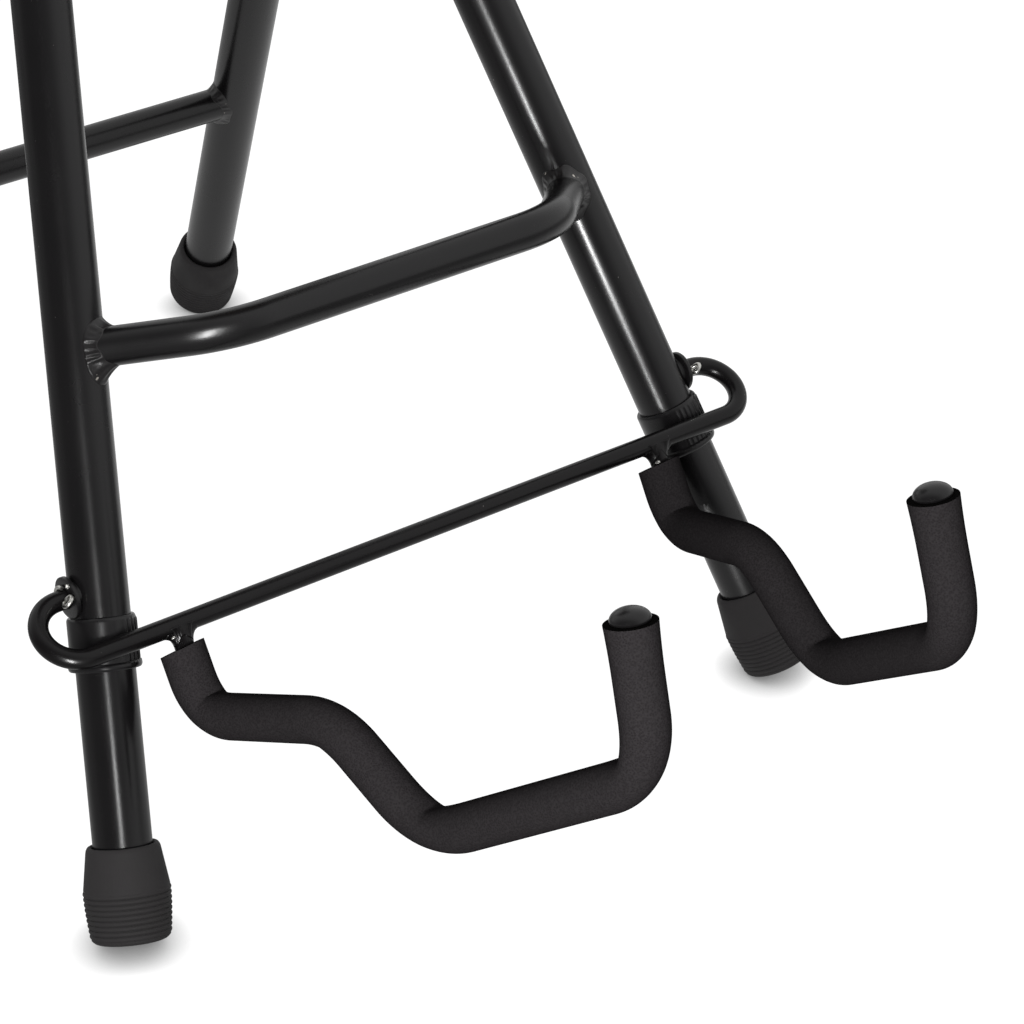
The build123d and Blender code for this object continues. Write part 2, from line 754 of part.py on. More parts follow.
export_step(front_left_leg.part, "parts/front_left_leg.step")
export_step(front_right_leg.part, "parts/front_right_leg.step")
export_step(footrest_rung.part, "parts/footrest_rung.step")
export_step(seat_ring.part, "parts/seat_ring.step")
export_step(left_hinge_lug.part, "parts/left_hinge_lug.step")
export_step(right_hinge_lug.part, "parts/right_hinge_lug.step")
export_step(front_left_foot.part, "parts/front_left_foot.step")
export_step(front_right_foot.part, "parts/front_right_foot.step")
export_step(left_collar.part, "parts/left_collar.step")
export_step(right_collar.part, "parts/right_collar.step")
export_step(left_pivot_washer.part, "parts/left_pivot_washer.step")
export_step(right_pivot_washer.part, "parts/right_pivot_washer.step")
export_step(rear_left_leg.part, "parts/rear_left_leg.step")
export_step(rear_right_leg.part, "parts/rear_right_leg.step")
export_step(rear_rung.part, "parts/rear_rung.step")
export_step(rear_left_foot.part, "parts/rear_left_foot.step")
export_step(rear_right_foot.part, "parts/rear_right_foot.step")
export_step(left_leg_plug.part, "parts/left_leg_plug.step")
export_step(right_leg_plug.part, "parts/right_leg_plug.step")
export_step(hinge_bolts.part, "parts/hinge_bolts.step")
export_step(hinge_nuts.part, "parts/hinge_nuts.step")
export_step(hinge_spacers.part, "parts/hinge_spacers.step")
export_step(cradle_yoke.part, "parts/cradle_yoke.step")
export_step(left_arm_rod.part, "parts/left_arm_rod.step")
export_step(right_arm_rod.part, "parts/right_arm_rod.step")
export_step(left_foam_sleeve.part, "parts/left_foam_sleeve.step")
export_step(right_foam_sleeve.part, "parts/right_foam_sleeve.step")
export_step(left_arm_cap.part, "parts/left_arm_cap.step")
export_step(right_arm_cap.part, "parts/right_arm_cap.step")
export_step(cotter_pins.part, "parts/cotter_pins.step")
export_step(left_seat_block.part, "parts/left_seat_block.step")
export_step(right_seat_block.part, "parts/right_seat_block.step")
export_step(seat_buffers.part, "parts/seat_buffers.step")
export_step(seat_screws.part, "parts/seat_screws.step")
export_step(seat_board.part, "parts/seat_board.step")
export_step(seat_cushion.part, "parts/seat_cushion.step")
export_step(seat_piping.part, "parts/seat_piping.step")
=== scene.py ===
import contextlib
import itertools
import math

import bmesh
import bpy
import numpy as np
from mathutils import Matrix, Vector
from mathutils.bvhtree import BVHTree


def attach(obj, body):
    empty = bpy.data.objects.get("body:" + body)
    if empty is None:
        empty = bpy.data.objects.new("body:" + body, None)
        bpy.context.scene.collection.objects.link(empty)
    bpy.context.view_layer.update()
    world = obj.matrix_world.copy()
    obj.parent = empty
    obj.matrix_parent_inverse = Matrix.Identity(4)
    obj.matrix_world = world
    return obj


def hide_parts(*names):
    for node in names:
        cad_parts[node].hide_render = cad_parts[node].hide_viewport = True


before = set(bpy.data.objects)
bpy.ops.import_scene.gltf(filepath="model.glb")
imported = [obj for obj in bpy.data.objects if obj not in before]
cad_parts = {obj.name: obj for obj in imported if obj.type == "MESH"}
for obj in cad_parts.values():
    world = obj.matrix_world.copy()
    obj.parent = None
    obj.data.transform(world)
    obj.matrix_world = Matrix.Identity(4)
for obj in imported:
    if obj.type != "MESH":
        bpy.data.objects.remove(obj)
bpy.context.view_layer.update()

# Sizes in millimetres, as in the model; the bends of the arms and the loops are drawn a little closer
MM = 0.001
LEG_R = 14.0
RUNG_R = 9.25
WIRE_R = 4.75
FOAM_R = 11.0
FRONT_Y = -150.72
REAR_Y = 383.28
FRONT_HALF, FRONT_SPLAY, FRONT_LEAN = 198.0, 0.223, 0.465
REAR_HALF, REAR_SPLAY, REAR_LEAN = 176.4, 0.121, 0.499
PIVOT_Z, BAR_Z, COLLAR_Z = 153.0, 138.8, 130.2
FOOTREST_Z, REAR_RUNG_Z, RING_Z = 250.0, 172.5, 566.0
COLLAR_R, COLLAR_IN_R, COLLAR_LEN = 16.0, 13.9, 24.6
LIP_TOP, LIP_MID, LIP_HALF, LIP_RISE = 3.4, 1.6, 1.85, 1.2
FLUTE_PITCH, FLUTE_SPAN, FLUTE_RISE = 10.0, 43.0, 0.6
FOOT_LOW, FOOT_HIGH, FOOT_LOW_R, FOOT_WIDE_R = 7.0, 52.0, 18.9, 20.5
ARM_ROOT_X, ARM_TOE_IN, ARM_TILT = 140.0, 0.180, 0.097
ARM_BENDS = [(-21.0, -39.4), (-101.0, -5.3), (-163.9, -35.8), (-280.4, 50.6)]
ARM_TIP = (-260.6, 114.6)
ARM_BEND_R = [22.0, 40.6, 43.6, 38.4]
FOAM_CREASE = [0.95, 0.4, 0.8, 0.9]
FOAM_START, FOAM_SHIFT = 11.5, 2.2
FOAM_FLARE, FLARE_LEN, MOST_PINCH = 0.7, 24.0, 5.3
ROOT_CUT_LEAN, ROOT_CUT_LEN = (0.07, -0.125), 15.0
CAP_R, CAP_RISE = 8.9, 5.3
BARE_BEAD_R, BARE_BEADS = 1.3, {-1: (-5.3, -4.3, -3.1), 1: (-3.7, -8.2, -6.6)}
LUG_IN_X, LUG_OUT_X = 87.76, 92.76
BOLT_HEAD_X, BOLT_END_X, BOLT_LEN, NUT_AF = 129.62, 79.26, 49.5, 13.0
COTTER_X, PIN_EYE_R, PIN_CURL_R = 182.6, 2.7, 6.1
PIN_TIP, PIN_TWIST = math.radians(25), math.radians(50)
SEAT_Z = 578.25
SEAM_R, SEAM_Z, CROWN_Z = 158.0, 628.25, 642.25

PIVOT_X = FRONT_HALF - FRONT_SPLAY * PIVOT_Z
PIVOT_Y = FRONT_Y + FRONT_LEAN * PIVOT_Z
BAR_GAP, LOOP_REACH = 0.3, 22.0
BAR_Y = FRONT_Y + FRONT_LEAN * BAR_Z - (COLLAR_R + BAR_GAP + WIRE_R) * math.hypot(1, FRONT_LEAN)
LOOP_X = PIVOT_X + LOOP_REACH
HINGE_Y, HINGE_Z = 126.53, 514.52
RING_X = FRONT_HALF - FRONT_SPLAY * RING_Z
RING_Y = FRONT_Y + FRONT_LEAN * RING_Z
RING_HALF_Y, RING_BEND_R = 85.0, 28.0
BOW_HALF, BOW_REACH, BOW_BEND_R = 92.0, 54.0, 45.0
BOW_Y = FRONT_Y + FRONT_LEAN * FOOTREST_Z - BOW_REACH
BOW_Z = FOOTREST_Z + 0.33 * BOW_REACH
TUBE_START, REAR_STUB = 13.0, 26.0
YOKE_END = 9.0
SIDES = {"left": -1, "right": 1}
ACROSS = np.array((1.0, 0.0, 0.0))


def unit(vector):
    vector = np.asarray(vector, float)
    return vector / np.linalg.norm(vector)


def front_at(z, side):
    """Point on the axis of a front leg."""
    return np.array((side * (FRONT_HALF - FRONT_SPLAY * z), FRONT_Y + FRONT_LEAN * z, z))


def rear_at(z, side):
    """Point on the axis of a rear leg."""
    return np.array((side * (REAR_HALF - REAR_SPLAY * z), REAR_Y - REAR_LEAN * z, z))


def front_dir(side):
    return unit((-side * FRONT_SPLAY, FRONT_LEAN, 1))


def rear_dir(side):
    return unit((-side * REAR_SPLAY, -REAR_LEAN, 1))


def arm_at(forward, up, side):
    """Point of an arm's bend, from its offsets to the bar axis."""
    x = ARM_ROOT_X + ARM_TOE_IN * forward - ARM_TILT * up
    return np.array((side * x, BAR_Y + forward, BAR_Z + up))


def square_to(direction):
    """Two unit vectors square to a direction, the first turned to the front."""
    direction = unit(direction)
    near = np.array((0.0, -1.0, 0.0))
    if abs(direction[1]) > 0.95:
        near = np.array((0.0, 0.0, 1.0))
    first = unit(near - direction * near.dot(direction))
    return first, np.cross(direction, first)


def full_turn(count):
    """Angles evenly around a circle."""
    return np.linspace(0, 2 * math.pi, count, endpoint=False)


def spokes(axis, count):
    """Unit vectors square to an axis, evenly around it."""
    first, second = square_to(axis)
    return [first * math.cos(turn) + second * math.sin(turn) for turn in full_turn(count)]


def bent(corners, radii, creases=0.0, step=2.0):
    """Points along straight runs and tangent arcs, with each point's bend.

    A bend is the unit vector to the arc's centre times the depth that a sleeve
    of the foam's radius loses on the inner side, and zero on the runs. A crease
    of 1 is the sharp corner that the sleeve's straight sides would meet in.
    """
    corners = [np.asarray(corner, float) for corner in corners]
    radii = np.broadcast_to(radii, len(corners) - 2)
    creases = np.broadcast_to(creases, len(corners) - 2)
    points, bends = [corners[0]], [np.zeros(3)]
    start = corners[0]

    def run(end):
        count = max(1, int(np.linalg.norm(end - start) / step))
        for i in range(1, count + 1):
            points.append(start + (end - start) * i / count)
            bends.append(np.zeros(3))

    for i, (radius, crease) in enumerate(zip(radii, creases)):
        before, corner, after = corners[i : i + 3]
        back, ahead = unit(before - corner), unit(after - corner)
        half = math.acos(float(np.clip(back.dot(ahead), -1, 1))) / 2
        reach = radius / math.tan(half)
        middle = unit(back + ahead)
        centre = corner + middle * radius / math.sin(half)
        turn = math.pi - 2 * half
        run(corner + back * reach)
        count = max(4, int(turn * radius / step))
        for k in range(1, count + 1):
            swing = turn * (k / count - 0.5)
            outward = -middle * math.cos(swing) + unit(ahead - back) * math.sin(swing)
            points.append(centre + outward * radius)
            depth = (radius - FOAM_R) * (1 / math.cos(turn / 2 - abs(swing)) - 1)
            bends.append(-outward * depth * crease)
        start = corner + ahead * reach
    run(corners[-1])
    return np.array(points), np.array(bends)


def meet(foot, way, post):
    """Where a line meets a round post (point, direction, radius), or passes it nearest."""
    point, along, radius = post
    gap = foot - point
    gap = gap - along * gap.dot(along)
    flat = way - along * way.dot(along)
    a, b, c = flat.dot(flat), gap.dot(flat), gap.dot(gap) - radius**2
    return foot + way * (-b - math.sqrt(max(0.0, b * b - a * c))) / a


def lumps(turns, seed, low, high):
    """Smooth random waves around a full turn, about -1 to 1."""
    chance = np.random.default_rng(seed)
    wave = np.zeros(len(turns))
    for k in range(low, high):
        wave += chance.normal() * np.cos(k * turns + chance.uniform(0, 2 * math.pi))
    return wave / np.abs(wave).max()


# Mesh helpers


def link(name, data):
    piece = bpy.data.objects.new(name, data)
    bpy.context.scene.collection.objects.link(piece)
    return piece


@contextlib.contextmanager
def editing(mesh):
    """The mesh as a bmesh, written back at the end."""
    shell = bmesh.new()
    shell.from_mesh(mesh)
    yield shell
    shell.to_mesh(mesh)
    shell.free()


def finish_mesh(mesh, angle):
    """Faces outwards, smooth but for edges sharper than the angle."""
    with editing(mesh) as shell:
        bmesh.ops.remove_doubles(shell, verts=shell.verts, dist=1e-6)
        bmesh.ops.recalc_face_normals(shell, faces=shell.faces)
    mesh.polygons.foreach_set("use_smooth", [True] * len(mesh.polygons))
    mesh.set_sharp_from_angle(angle=math.radians(angle))


def solid(name, points, faces, finish, angle=35):
    """Mesh piece from points in millimetres."""
    mesh = bpy.data.meshes.new(name)
    mesh.from_pydata((np.asarray(points) * MM).tolist(), [], faces)
    mesh.materials.append(finish)
    finish_mesh(mesh, angle)
    return link(name, mesh)


def coords(mesh):
    """Points of a mesh, one in each row."""
    flat = np.zeros(len(mesh.vertices) * 3)
    mesh.vertices.foreach_get("co", flat)
    return flat.reshape(-1, 3)


def strip(low, high):
    """Faces between two closed lines of points, given as lists of their numbers."""
    return [list(face) for face in zip(low, low[1:] + low[:1], high[1:] + high[:1], high)]


def ring_faces(count, size, closed=True):
    """Faces between sections in a row, each a closed line of the same size."""
    rows = [list(range(i * size, (i + 1) * size)) for i in range(count)]
    rows += rows[:1] if closed else []
    return [face for low, high in zip(rows, rows[1:]) for face in strip(low, high)]


def rounded(profile, radius, count=4):
    """Open profile with its inner corners rounded."""
    profile = [np.asarray(corner, float) for corner in profile]
    line = [profile[0]]
    for before, corner, after in zip(profile, profile[1:], profile[2:]):
        back, ahead = before - corner, after - corner
        cut = min(radius, np.linalg.norm(back) * 0.45, np.linalg.norm(ahead) * 0.45)
        begin, end = corner + unit(back) * cut, corner + unit(ahead) * cut
        for t in np.linspace(0, 1, count):
            line.append(begin * (1 - t) ** 2 + corner * 2 * t * (1 - t) + end * t * t)
    return line + [profile[-1]]


def turned(name, profile, origin, axis, finish, sides=96, angle=35):
    """Turned piece: profile points are (out from the axis, up the axis)."""
    axis = unit(axis)
    around = spokes(axis, sides)
    points, rings, faces = [], [], []
    for out, up in profile:
        if out < 1e-6:
            rings.append([len(points)] * sides)
            points.append(origin + axis * up)
            continue
        rings.append(list(range(len(points), len(points) + sides)))
        points += [origin + axis * up + spoke * out for spoke in around]
    for low, high in zip(rings, rings[1:]):
        faces += [list(dict.fromkeys(face)) for face in strip(low, high)]
    faces = [face for face in faces if len(face) > 2]
    return solid(name, points, faces, finish, angle)


def dome(out, up, start, base, count):
    """Profile of a dome from an angle off its axis up to the pole."""
    turns = np.linspace(start, 0, count)
    return [(out * math.sin(turn), base + up * math.cos(turn)) for turn in turns]


def joined(name, pieces):
    """One piece from several, its materials kept."""
    merged = bmesh.new()
    finishes = []
    for piece in pieces:
        for material in piece.data.materials:
            if material not in finishes:
                finishes.append(material)
        start = len(merged.faces)
        merged.from_mesh(piece.data)
        merged.faces.ensure_lookup_table()
        places = [finishes.index(material) for material in piece.data.materials]
        for face in merged.faces[start:]:
            face.material_index = places[face.material_index]
    mesh = bpy.data.meshes.new(name)
    merged.to_mesh(mesh)
    merged.free()
    for material in finishes:
        mesh.materials.append(material)
    for piece in pieces:
        bpy.data.objects.remove(piece)
    return link(name, mesh)


def modify(piece, kind, **settings):
    """Adds a modifier with its settings."""
    modifier = piece.modifiers.new(kind.lower(), kind)
    for key, value in settings.items():
        setattr(modifier, key, value)
    return modifier


def baked(source, name):
    """Plain mesh piece from an object with modifiers, which is removed."""
    depsgraph = bpy.context.evaluated_depsgraph_get()
    mesh = bpy.data.meshes.new_from_object(source.evaluated_get(depsgraph), depsgraph=depsgraph)
    bpy.data.objects.remove(source)
    mesh.name = name
    return link(name, mesh)


def eased(node_name, name, finish, width):
    """Copy of a CAD node's shape with its edges rounded."""
    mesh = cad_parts[node_name].data.copy()
    flat = math.radians(2)
    with editing(mesh) as shell:
        bmesh.ops.remove_doubles(shell, verts=shell.verts, dist=1e-6)
        bmesh.ops.dissolve_limit(shell, angle_limit=flat, verts=shell.verts, edges=shell.edges)
        for face in shell.faces:
            face.material_index = 0
    mesh.materials.clear()
    mesh.materials.append(finish)
    piece = link(name, mesh)
    modify(piece, "BEVEL", width=width * MM, segments=3, angle_limit=math.radians(40))
    piece = baked(piece, name)
    finish_mesh(piece.data, 35)
    return piece


def path(points, closed=False):
    """Curve object through points in millimetres."""
    curve = bpy.data.curves.new("path", "CURVE")
    curve.dimensions = "3D"
    spline = curve.splines.new("POLY")
    spline.points.add(len(points) - 1)
    flat = np.ones((len(points), 4))
    flat[:, :3] = np.asarray(points) * MM
    spline.points.foreach_set("co", flat.ravel())
    spline.use_cyclic_u = closed
    return link("path", curve)


def grown(name, base, tree, inputs, angle=35):
    """Piece that a Geometry Nodes tree makes from a base object."""
    modifier = modify(base, "NODES", node_group=tree)
    for item in tree.interface.items_tree:
        if item.in_out == "INPUT" and item.name in inputs:
            modifier[item.identifier] = inputs[item.name]
    base.update_tag()
    piece = baked(base, name)
    finish_mesh(piece.data, angle)
    return piece


def copied(name, base, tree, piece, finish, angle, **inputs):
    """Copies of a small piece, which is removed, on a base object."""
    copies = grown(name, base, tree, {**inputs, "Piece": piece, "Material": finish}, angle)
    bpy.data.objects.remove(piece)
    return copies


def settle(piece, body, slot, *nodes):
    """The piece moves with a body and stands for nodes, which are hidden; its slot is not used."""
    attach(piece, body)
    if nodes:
        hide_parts(*nodes)
    return piece


def node(tree, kind, inputs=None, **settings):
    """Adds a node, with its settings, and its inputs as values or links."""
    made = tree.nodes.new(kind)
    for key, value in settings.items():
        setattr(made, key, value)
    for key, value in (inputs or {}).items():
        if isinstance(value, bpy.types.NodeSocket):
            tree.links.new(value, made.inputs[key])
        else:
            made.inputs[key].default_value = value
    return made


# Materials


def srgb(code):
    """Linear colour from an sRGB hex value."""
    parts = [int(code[i : i + 2], 16) / 255 for i in (1, 3, 5)]
    line = [c / 12.92 if c <= 0.04045 else ((c + 0.055) / 1.055) ** 2.4 for c in parts]
    return (*line, 1.0)


def per_mm(size):
    """Texture scale that makes a feature this many millimetres wide."""
    return 1.0 / (size * MM)


def new_material(name, **values):
    """Material with one Principled shader, its constants set on the sockets."""
    material = bpy.data.materials.new(name)
    material.use_nodes = True
    tree = material.node_tree
    shader = tree.nodes["Principled BSDF"]
    for key, value in values.items():
        shader.inputs[key.replace("_", " ")].default_value = value
    where = node(tree, "ShaderNodeTexCoord").outputs["Object"]
    return material, tree, shader, where


def enamelled_steel(name, dark, pale, level):
    """Steel with a stove-enamelled black coat: smooth, glossy, with a faint orange
    peel and a few specks of dust that break the reflections. The thick coat on the
    tubes mirrors more than the thin dipped coat on the wire."""
    material, tree, shader, where = new_material(name, IOR=1.5, Specular_IOR_Level=level)
    cloud = node(tree, "ShaderNodeTexNoise", {"Vector": where, "Scale": per_mm(38), "Detail": 4.0})
    tint = node(
        tree,
        "ShaderNodeMix",
        {0: cloud.outputs["Fac"], 6: srgb(dark), 7: srgb(pale)},
        data_type="RGBA",
    )
    speck = node(tree, "ShaderNodeTexNoise", {"Vector": where, "Scale": per_mm(2.2), "Detail": 1.0})
    dust = node(
        tree, "ShaderNodeMapRange", {0: speck.outputs["Fac"], 1: 0.8, 2: 0.84, 3: 0.0, 4: 0.4}
    )
    colour = node(
        tree,
        "ShaderNodeMix",
        {0: dust.outputs[0], 6: tint.outputs[2], 7: srgb("#8a8684")},
        data_type="RGBA",
    )
    tree.links.new(colour.outputs[2], shader.inputs["Base Color"])
    haze = node(
        tree, "ShaderNodeMapRange", {0: cloud.outputs["Fac"], 1: 0.3, 2: 0.7, 3: 0.23, 4: 0.29}
    )
    tree.links.new(haze.outputs[0], shader.inputs["Roughness"])
    peel = node(tree, "ShaderNodeTexNoise", {"Vector": where, "Scale": per_mm(3.0), "Detail": 2.0})
    bump = node(
        tree,
        "ShaderNodeBump",
        {"Height": peel.outputs["Fac"], "Strength": 0.05, "Distance": 0.4 * MM},
    )
    tree.links.new(bump.outputs["Normal"], shader.inputs["Normal"])
    return material


def weld_enamel():
    """Weld bead under the same black coat: rougher than the tube, and bare where
    the coat runs thin on a crest, which gives small bright glints."""
    material, tree, shader, where = new_material("enamelled_weld_bead", IOR=1.5, Roughness=0.3)
    patch = node(tree, "ShaderNodeTexNoise", {"Vector": where, "Scale": per_mm(4.5), "Detail": 2.0})
    bare = node(
        tree, "ShaderNodeMapRange", {0: patch.outputs["Fac"], 1: 0.69, 2: 0.73, 3: 0.0, 4: 1.0}
    )
    soot = node(tree, "ShaderNodeTexNoise", {"Vector": where, "Scale": per_mm(1.2), "Detail": 3.0})
    coat = node(
        tree,
        "ShaderNodeMix",
        {0: soot.outputs["Fac"], 6: srgb("#0f0e0f"), 7: srgb("#232122")},
        data_type="RGBA",
    )
    tint = node(
        tree,
        "ShaderNodeMix",
        {0: bare.outputs[0], 6: coat.outputs[2], 7: srgb("#d2cdc4")},
        data_type="RGBA",
    )
    tree.links.new(tint.outputs[2], shader.inputs["Base Color"])
    tree.links.new(bare.outputs[0], shader.inputs["Metallic"])
    bump = node(
        tree, "ShaderNodeBump", {"Height": soot.outputs["Fac"], "Strength": 0.2, "Distance": 0.3 * MM}
    )
    tree.links.new(bump.outputs["Normal"], shader.inputs["Normal"])
    return material


def moulded_rubber():
    """Moulded rubber: dull charcoal, a fine grain and paler rubbed patches."""
    material, tree, shader, where = new_material("moulded_rubber", IOR=1.52, Specular_IOR_Level=0.3)
    cloud = node(tree, "ShaderNodeTexNoise", {"Vector": where, "Scale": per_mm(14), "Detail": 5.0})
    tint = node(
        tree,
        "ShaderNodeMix",
        {0: cloud.outputs["Fac"], 6: srgb("#2b2a2a"), 7: srgb("#363435")},
        data_type="RGBA",
    )
    tree.links.new(tint.outputs[2], shader.inputs["Base Color"])
    dull = node(
        tree, "ShaderNodeMapRange", {0: cloud.outputs["Fac"], 1: 0.3, 2: 0.7, 3: 0.62, 4: 0.8}
    )
    tree.links.new(dull.outputs[0], shader.inputs["Roughness"])
    grain = node(tree, "ShaderNodeTexNoise", {"Vector": where, "Scale": per_mm(0.8), "Detail": 2.0})
    bump = node(
        tree,
        "ShaderNodeBump",
        {"Height": grain.outputs["Fac"], "Strength": 0.18, "Distance": 0.2 * MM},
    )
    tree.links.new(bump.outputs["Normal"], shader.inputs["Normal"])
    return material


def closed_cell_foam(name, low, high, ridge):
    """Closed-cell foam tube: black and matte, with a painted highlight: the rims of its small cells are
    painted lighter, a fine speckle of glints. Cells of 0.5 mm are drawn at 0.9 mm so that they show.
    Cut across, the ends take darker colours: painted shade."""
    values = {"IOR": 1.4, "Specular_IOR_Level": 0.0, "Roughness": 0.85}
    material, tree, shader, where = new_material(name, **values)
    cell = node(
        tree, "ShaderNodeTexVoronoi", {"Vector": where, "Scale": per_mm(0.9), "Randomness": 1.0}
    )
    rim = node(
        tree, "ShaderNodeMapRange", {0: cell.outputs["Distance"], 1: 0.1, 2: 0.75, 3: 0.0, 4: 1.0}
    )
    cloud = node(tree, "ShaderNodeTexNoise", {"Vector": where, "Scale": per_mm(6), "Detail": 4.0})
    base = node(
        tree,
        "ShaderNodeMix",
        {0: cloud.outputs["Fac"], 6: srgb(low), 7: srgb(high)},
        data_type="RGBA",
    )
    # Painted highlight: the cell rims take the lighter ridge colour, a speckle of glints
    tint = node(
        tree,
        "ShaderNodeMix",
        {0: rim.outputs[0], 6: base.outputs[2], 7: srgb(ridge)},
        data_type="RGBA",
    )
    tree.links.new(tint.outputs[2], shader.inputs["Base Color"])
    bump = node(
        tree, "ShaderNodeBump", {"Height": rim.outputs[0], "Strength": 0.35, "Distance": 0.25 * MM}
    )
    tree.links.new(bump.outputs["Normal"], shader.inputs["Normal"])
    return material


def moulded_nylon():
    """Injection-moulded black nylon: satin, with a faint spark-eroded grain."""
    material, tree, shader, where = new_material("moulded_nylon", IOR=1.53, Specular_IOR_Level=0.35)
    cloud = node(tree, "ShaderNodeTexNoise", {"Vector": where, "Scale": per_mm(9), "Detail": 4.0})
    tint = node(
        tree,
        "ShaderNodeMix",
        {0: cloud.outputs["Fac"], 6: srgb("#131213"), 7: srgb("#1b1a1b")},
        data_type="RGBA",
    )
    tree.links.new(tint.outputs[2], shader.inputs["Base Color"])
    dull = node(
        tree, "ShaderNodeMapRange", {0: cloud.outputs["Fac"], 1: 0.3, 2: 0.7, 3: 0.25, 4: 0.33}
    )
    tree.links.new(dull.outputs[0], shader.inputs["Roughness"])
    grain = node(tree, "ShaderNodeTexNoise", {"Vector": where, "Scale": per_mm(0.6), "Detail": 1.0})
    bump = node(
        tree,
        "ShaderNodeBump",
        {"Height": grain.outputs["Fac"], "Strength": 0.1, "Distance": 0.1 * MM},
    )
    tree.links.new(bump.outputs["Normal"], shader.inputs["Normal"])
    return material


def zinc_plate():
    """Zinc-plated steel: pale grey metal, slightly clouded by the plating bath."""
    material, tree, shader, where = new_material("zinc_plated_steel", Metallic=1.0)
    cloud = node(tree, "ShaderNodeTexNoise", {"Vector": where, "Scale": per_mm(1.5), "Detail": 3.0})
    tint = node(
        tree,
        "ShaderNodeMix",
        {0: cloud.outputs["Fac"], 6: srgb("#b9b8b3"), 7: srgb("#dcdbd6")},
        data_type="RGBA",
    )
    tree.links.new(tint.outputs[2], shader.inputs["Base Color"])
    haze = node(
        tree, "ShaderNodeMapRange", {0: cloud.outputs["Fac"], 1: 0.3, 2: 0.7, 3: 0.2, 4: 0.38}
    )
    tree.links.new(haze.outputs[0], shader.inputs["Roughness"])
    return material


def coated_vinyl():
    """Embossed vinyl on the seat: black, satin, a leather grain of 1.8 mm plates, with painted shade
    darkening the grooves between them.
    """
    material, tree, shader, where = new_material("upholstery_vinyl", IOR=1.5, Specular_IOR_Level=0.4)
    plate = node(
        tree,
        "ShaderNodeTexVoronoi",
        {"Vector": where, "Scale": per_mm(1.8), "Randomness": 1.0},
        feature="DISTANCE_TO_EDGE",
    )
    crease = node(
        tree, "ShaderNodeMapRange", {0: plate.outputs["Distance"], 1: 0.0, 2: 0.16, 3: 0.0, 4: 1.0}
    )
    pore = node(tree, "ShaderNodeTexNoise", {"Vector": where, "Scale": per_mm(0.9), "Detail": 3.0})
    height = node(
        tree, "ShaderNodeMath", {0: crease.outputs[0], 1: pore.outputs["Fac"]}, operation="ADD"
    )
    cloud = node(tree, "ShaderNodeTexNoise", {"Vector": where, "Scale": per_mm(60), "Detail": 5.0})
    base = node(
        tree,
        "ShaderNodeMix",
        {0: cloud.outputs["Fac"], 6: srgb("#131213"), 7: srgb("#1c1b1c")},
        data_type="RGBA",
    )
    # Painted shade: the grooves between the grain's plates are darker
    tint = node(
        tree,
        "ShaderNodeMix",
        {0: crease.outputs[0], 6: srgb("#0c0b0c"), 7: base.outputs[2]},
        data_type="RGBA",
    )
    tree.links.new(tint.outputs[2], shader.inputs["Base Color"])
    dull = node(
        tree, "ShaderNodeMapRange", {0: cloud.outputs["Fac"], 1: 0.3, 2: 0.7, 3: 0.36, 4: 0.5}
    )
    tree.links.new(dull.outputs[0], shader.inputs["Roughness"])
    bump = node(
        tree, "ShaderNodeBump", {"Height": height.outputs[0], "Strength": 0.22, "Distance": 0.25 * MM}
    )
    tree.links.new(bump.outputs["Normal"], shader.inputs["Normal"])
    return material


def sewing_thread():
    """Bonded polyester thread: black with a slight gloss, mottled by its twisted plies."""
    material, tree, shader, where = new_material("polyester_thread", Roughness=0.45, IOR=1.55)
    ply = node(tree, "ShaderNodeTexNoise", {"Vector": where, "Scale": per_mm(0.5), "Detail": 1.0})
    tint = node(
        tree,
        "ShaderNodeMix",
        {0: ply.outputs["Fac"], 6: srgb("#201f20"), 7: srgb("#3a3839")},
        data_type="RGBA",
    )
    tree.links.new(tint.outputs[2], shader.inputs["Base Color"])
    return material


def birch_plywood():
    """Birch plywood: pale brown face veneer with long grain, plies on its edge."""
    material, tree, shader, where = new_material("birch_plywood", IOR=1.5, Roughness=0.62)
    stretched = node(
        tree, "ShaderNodeMapping", {"Vector": where, "Scale": (per_mm(90), per_mm(3), per_mm(90))}
    )
    grain = node(
        tree,
        "ShaderNodeTexNoise",
        {"Vector": stretched.outputs[0], "Scale": 1.0, "Detail": 6.0, "Distortion": 0.6},
    )
    face = node(
        tree,
        "ShaderNodeMix",
        {0: grain.outputs["Fac"], 6: srgb("#9a7650"), 7: srgb("#c7a277")},
        data_type="RGBA",
    )
    height = node(tree, "ShaderNodeSeparateXYZ", {0: where})
    ply = node(
        tree, "ShaderNodeMath", {0: height.outputs["Z"], 1: per_mm(1.3) * math.pi}, operation="MULTIPLY"
    )
    stripe = node(tree, "ShaderNodeMath", {0: ply.outputs[0]}, operation="SINE")
    shade = node(tree, "ShaderNodeMapRange", {0: stripe.outputs[0], 1: -0.4, 2: 0.4, 3: 0.0, 4: 1.0})
    edge = node(
        tree,
        "ShaderNodeMix",
        {0: shade.outputs[0], 6: srgb("#7d5c3a"), 7: srgb("#b9946a")},
        data_type="RGBA",
    )
    up = node(tree, "ShaderNodeSeparateXYZ", {0: where.node.outputs["Normal"]})
    flat = node(tree, "ShaderNodeMath", {0: up.outputs["Z"]}, operation="ABSOLUTE")
    wood = node(
        tree,
        "ShaderNodeMix",
        {0: flat.outputs[0], 6: edge.outputs[2], 7: face.outputs[2]},
        data_type="RGBA",
    )
    tree.links.new(wood.outputs[2], shader.inputs["Base Color"])
    bump = node(
        tree,
        "ShaderNodeBump",
        {"Height": grain.outputs["Fac"], "Strength": 0.15, "Distance": 0.2 * MM},
    )
    tree.links.new(bump.outputs["Normal"], shader.inputs["Normal"])
    return material


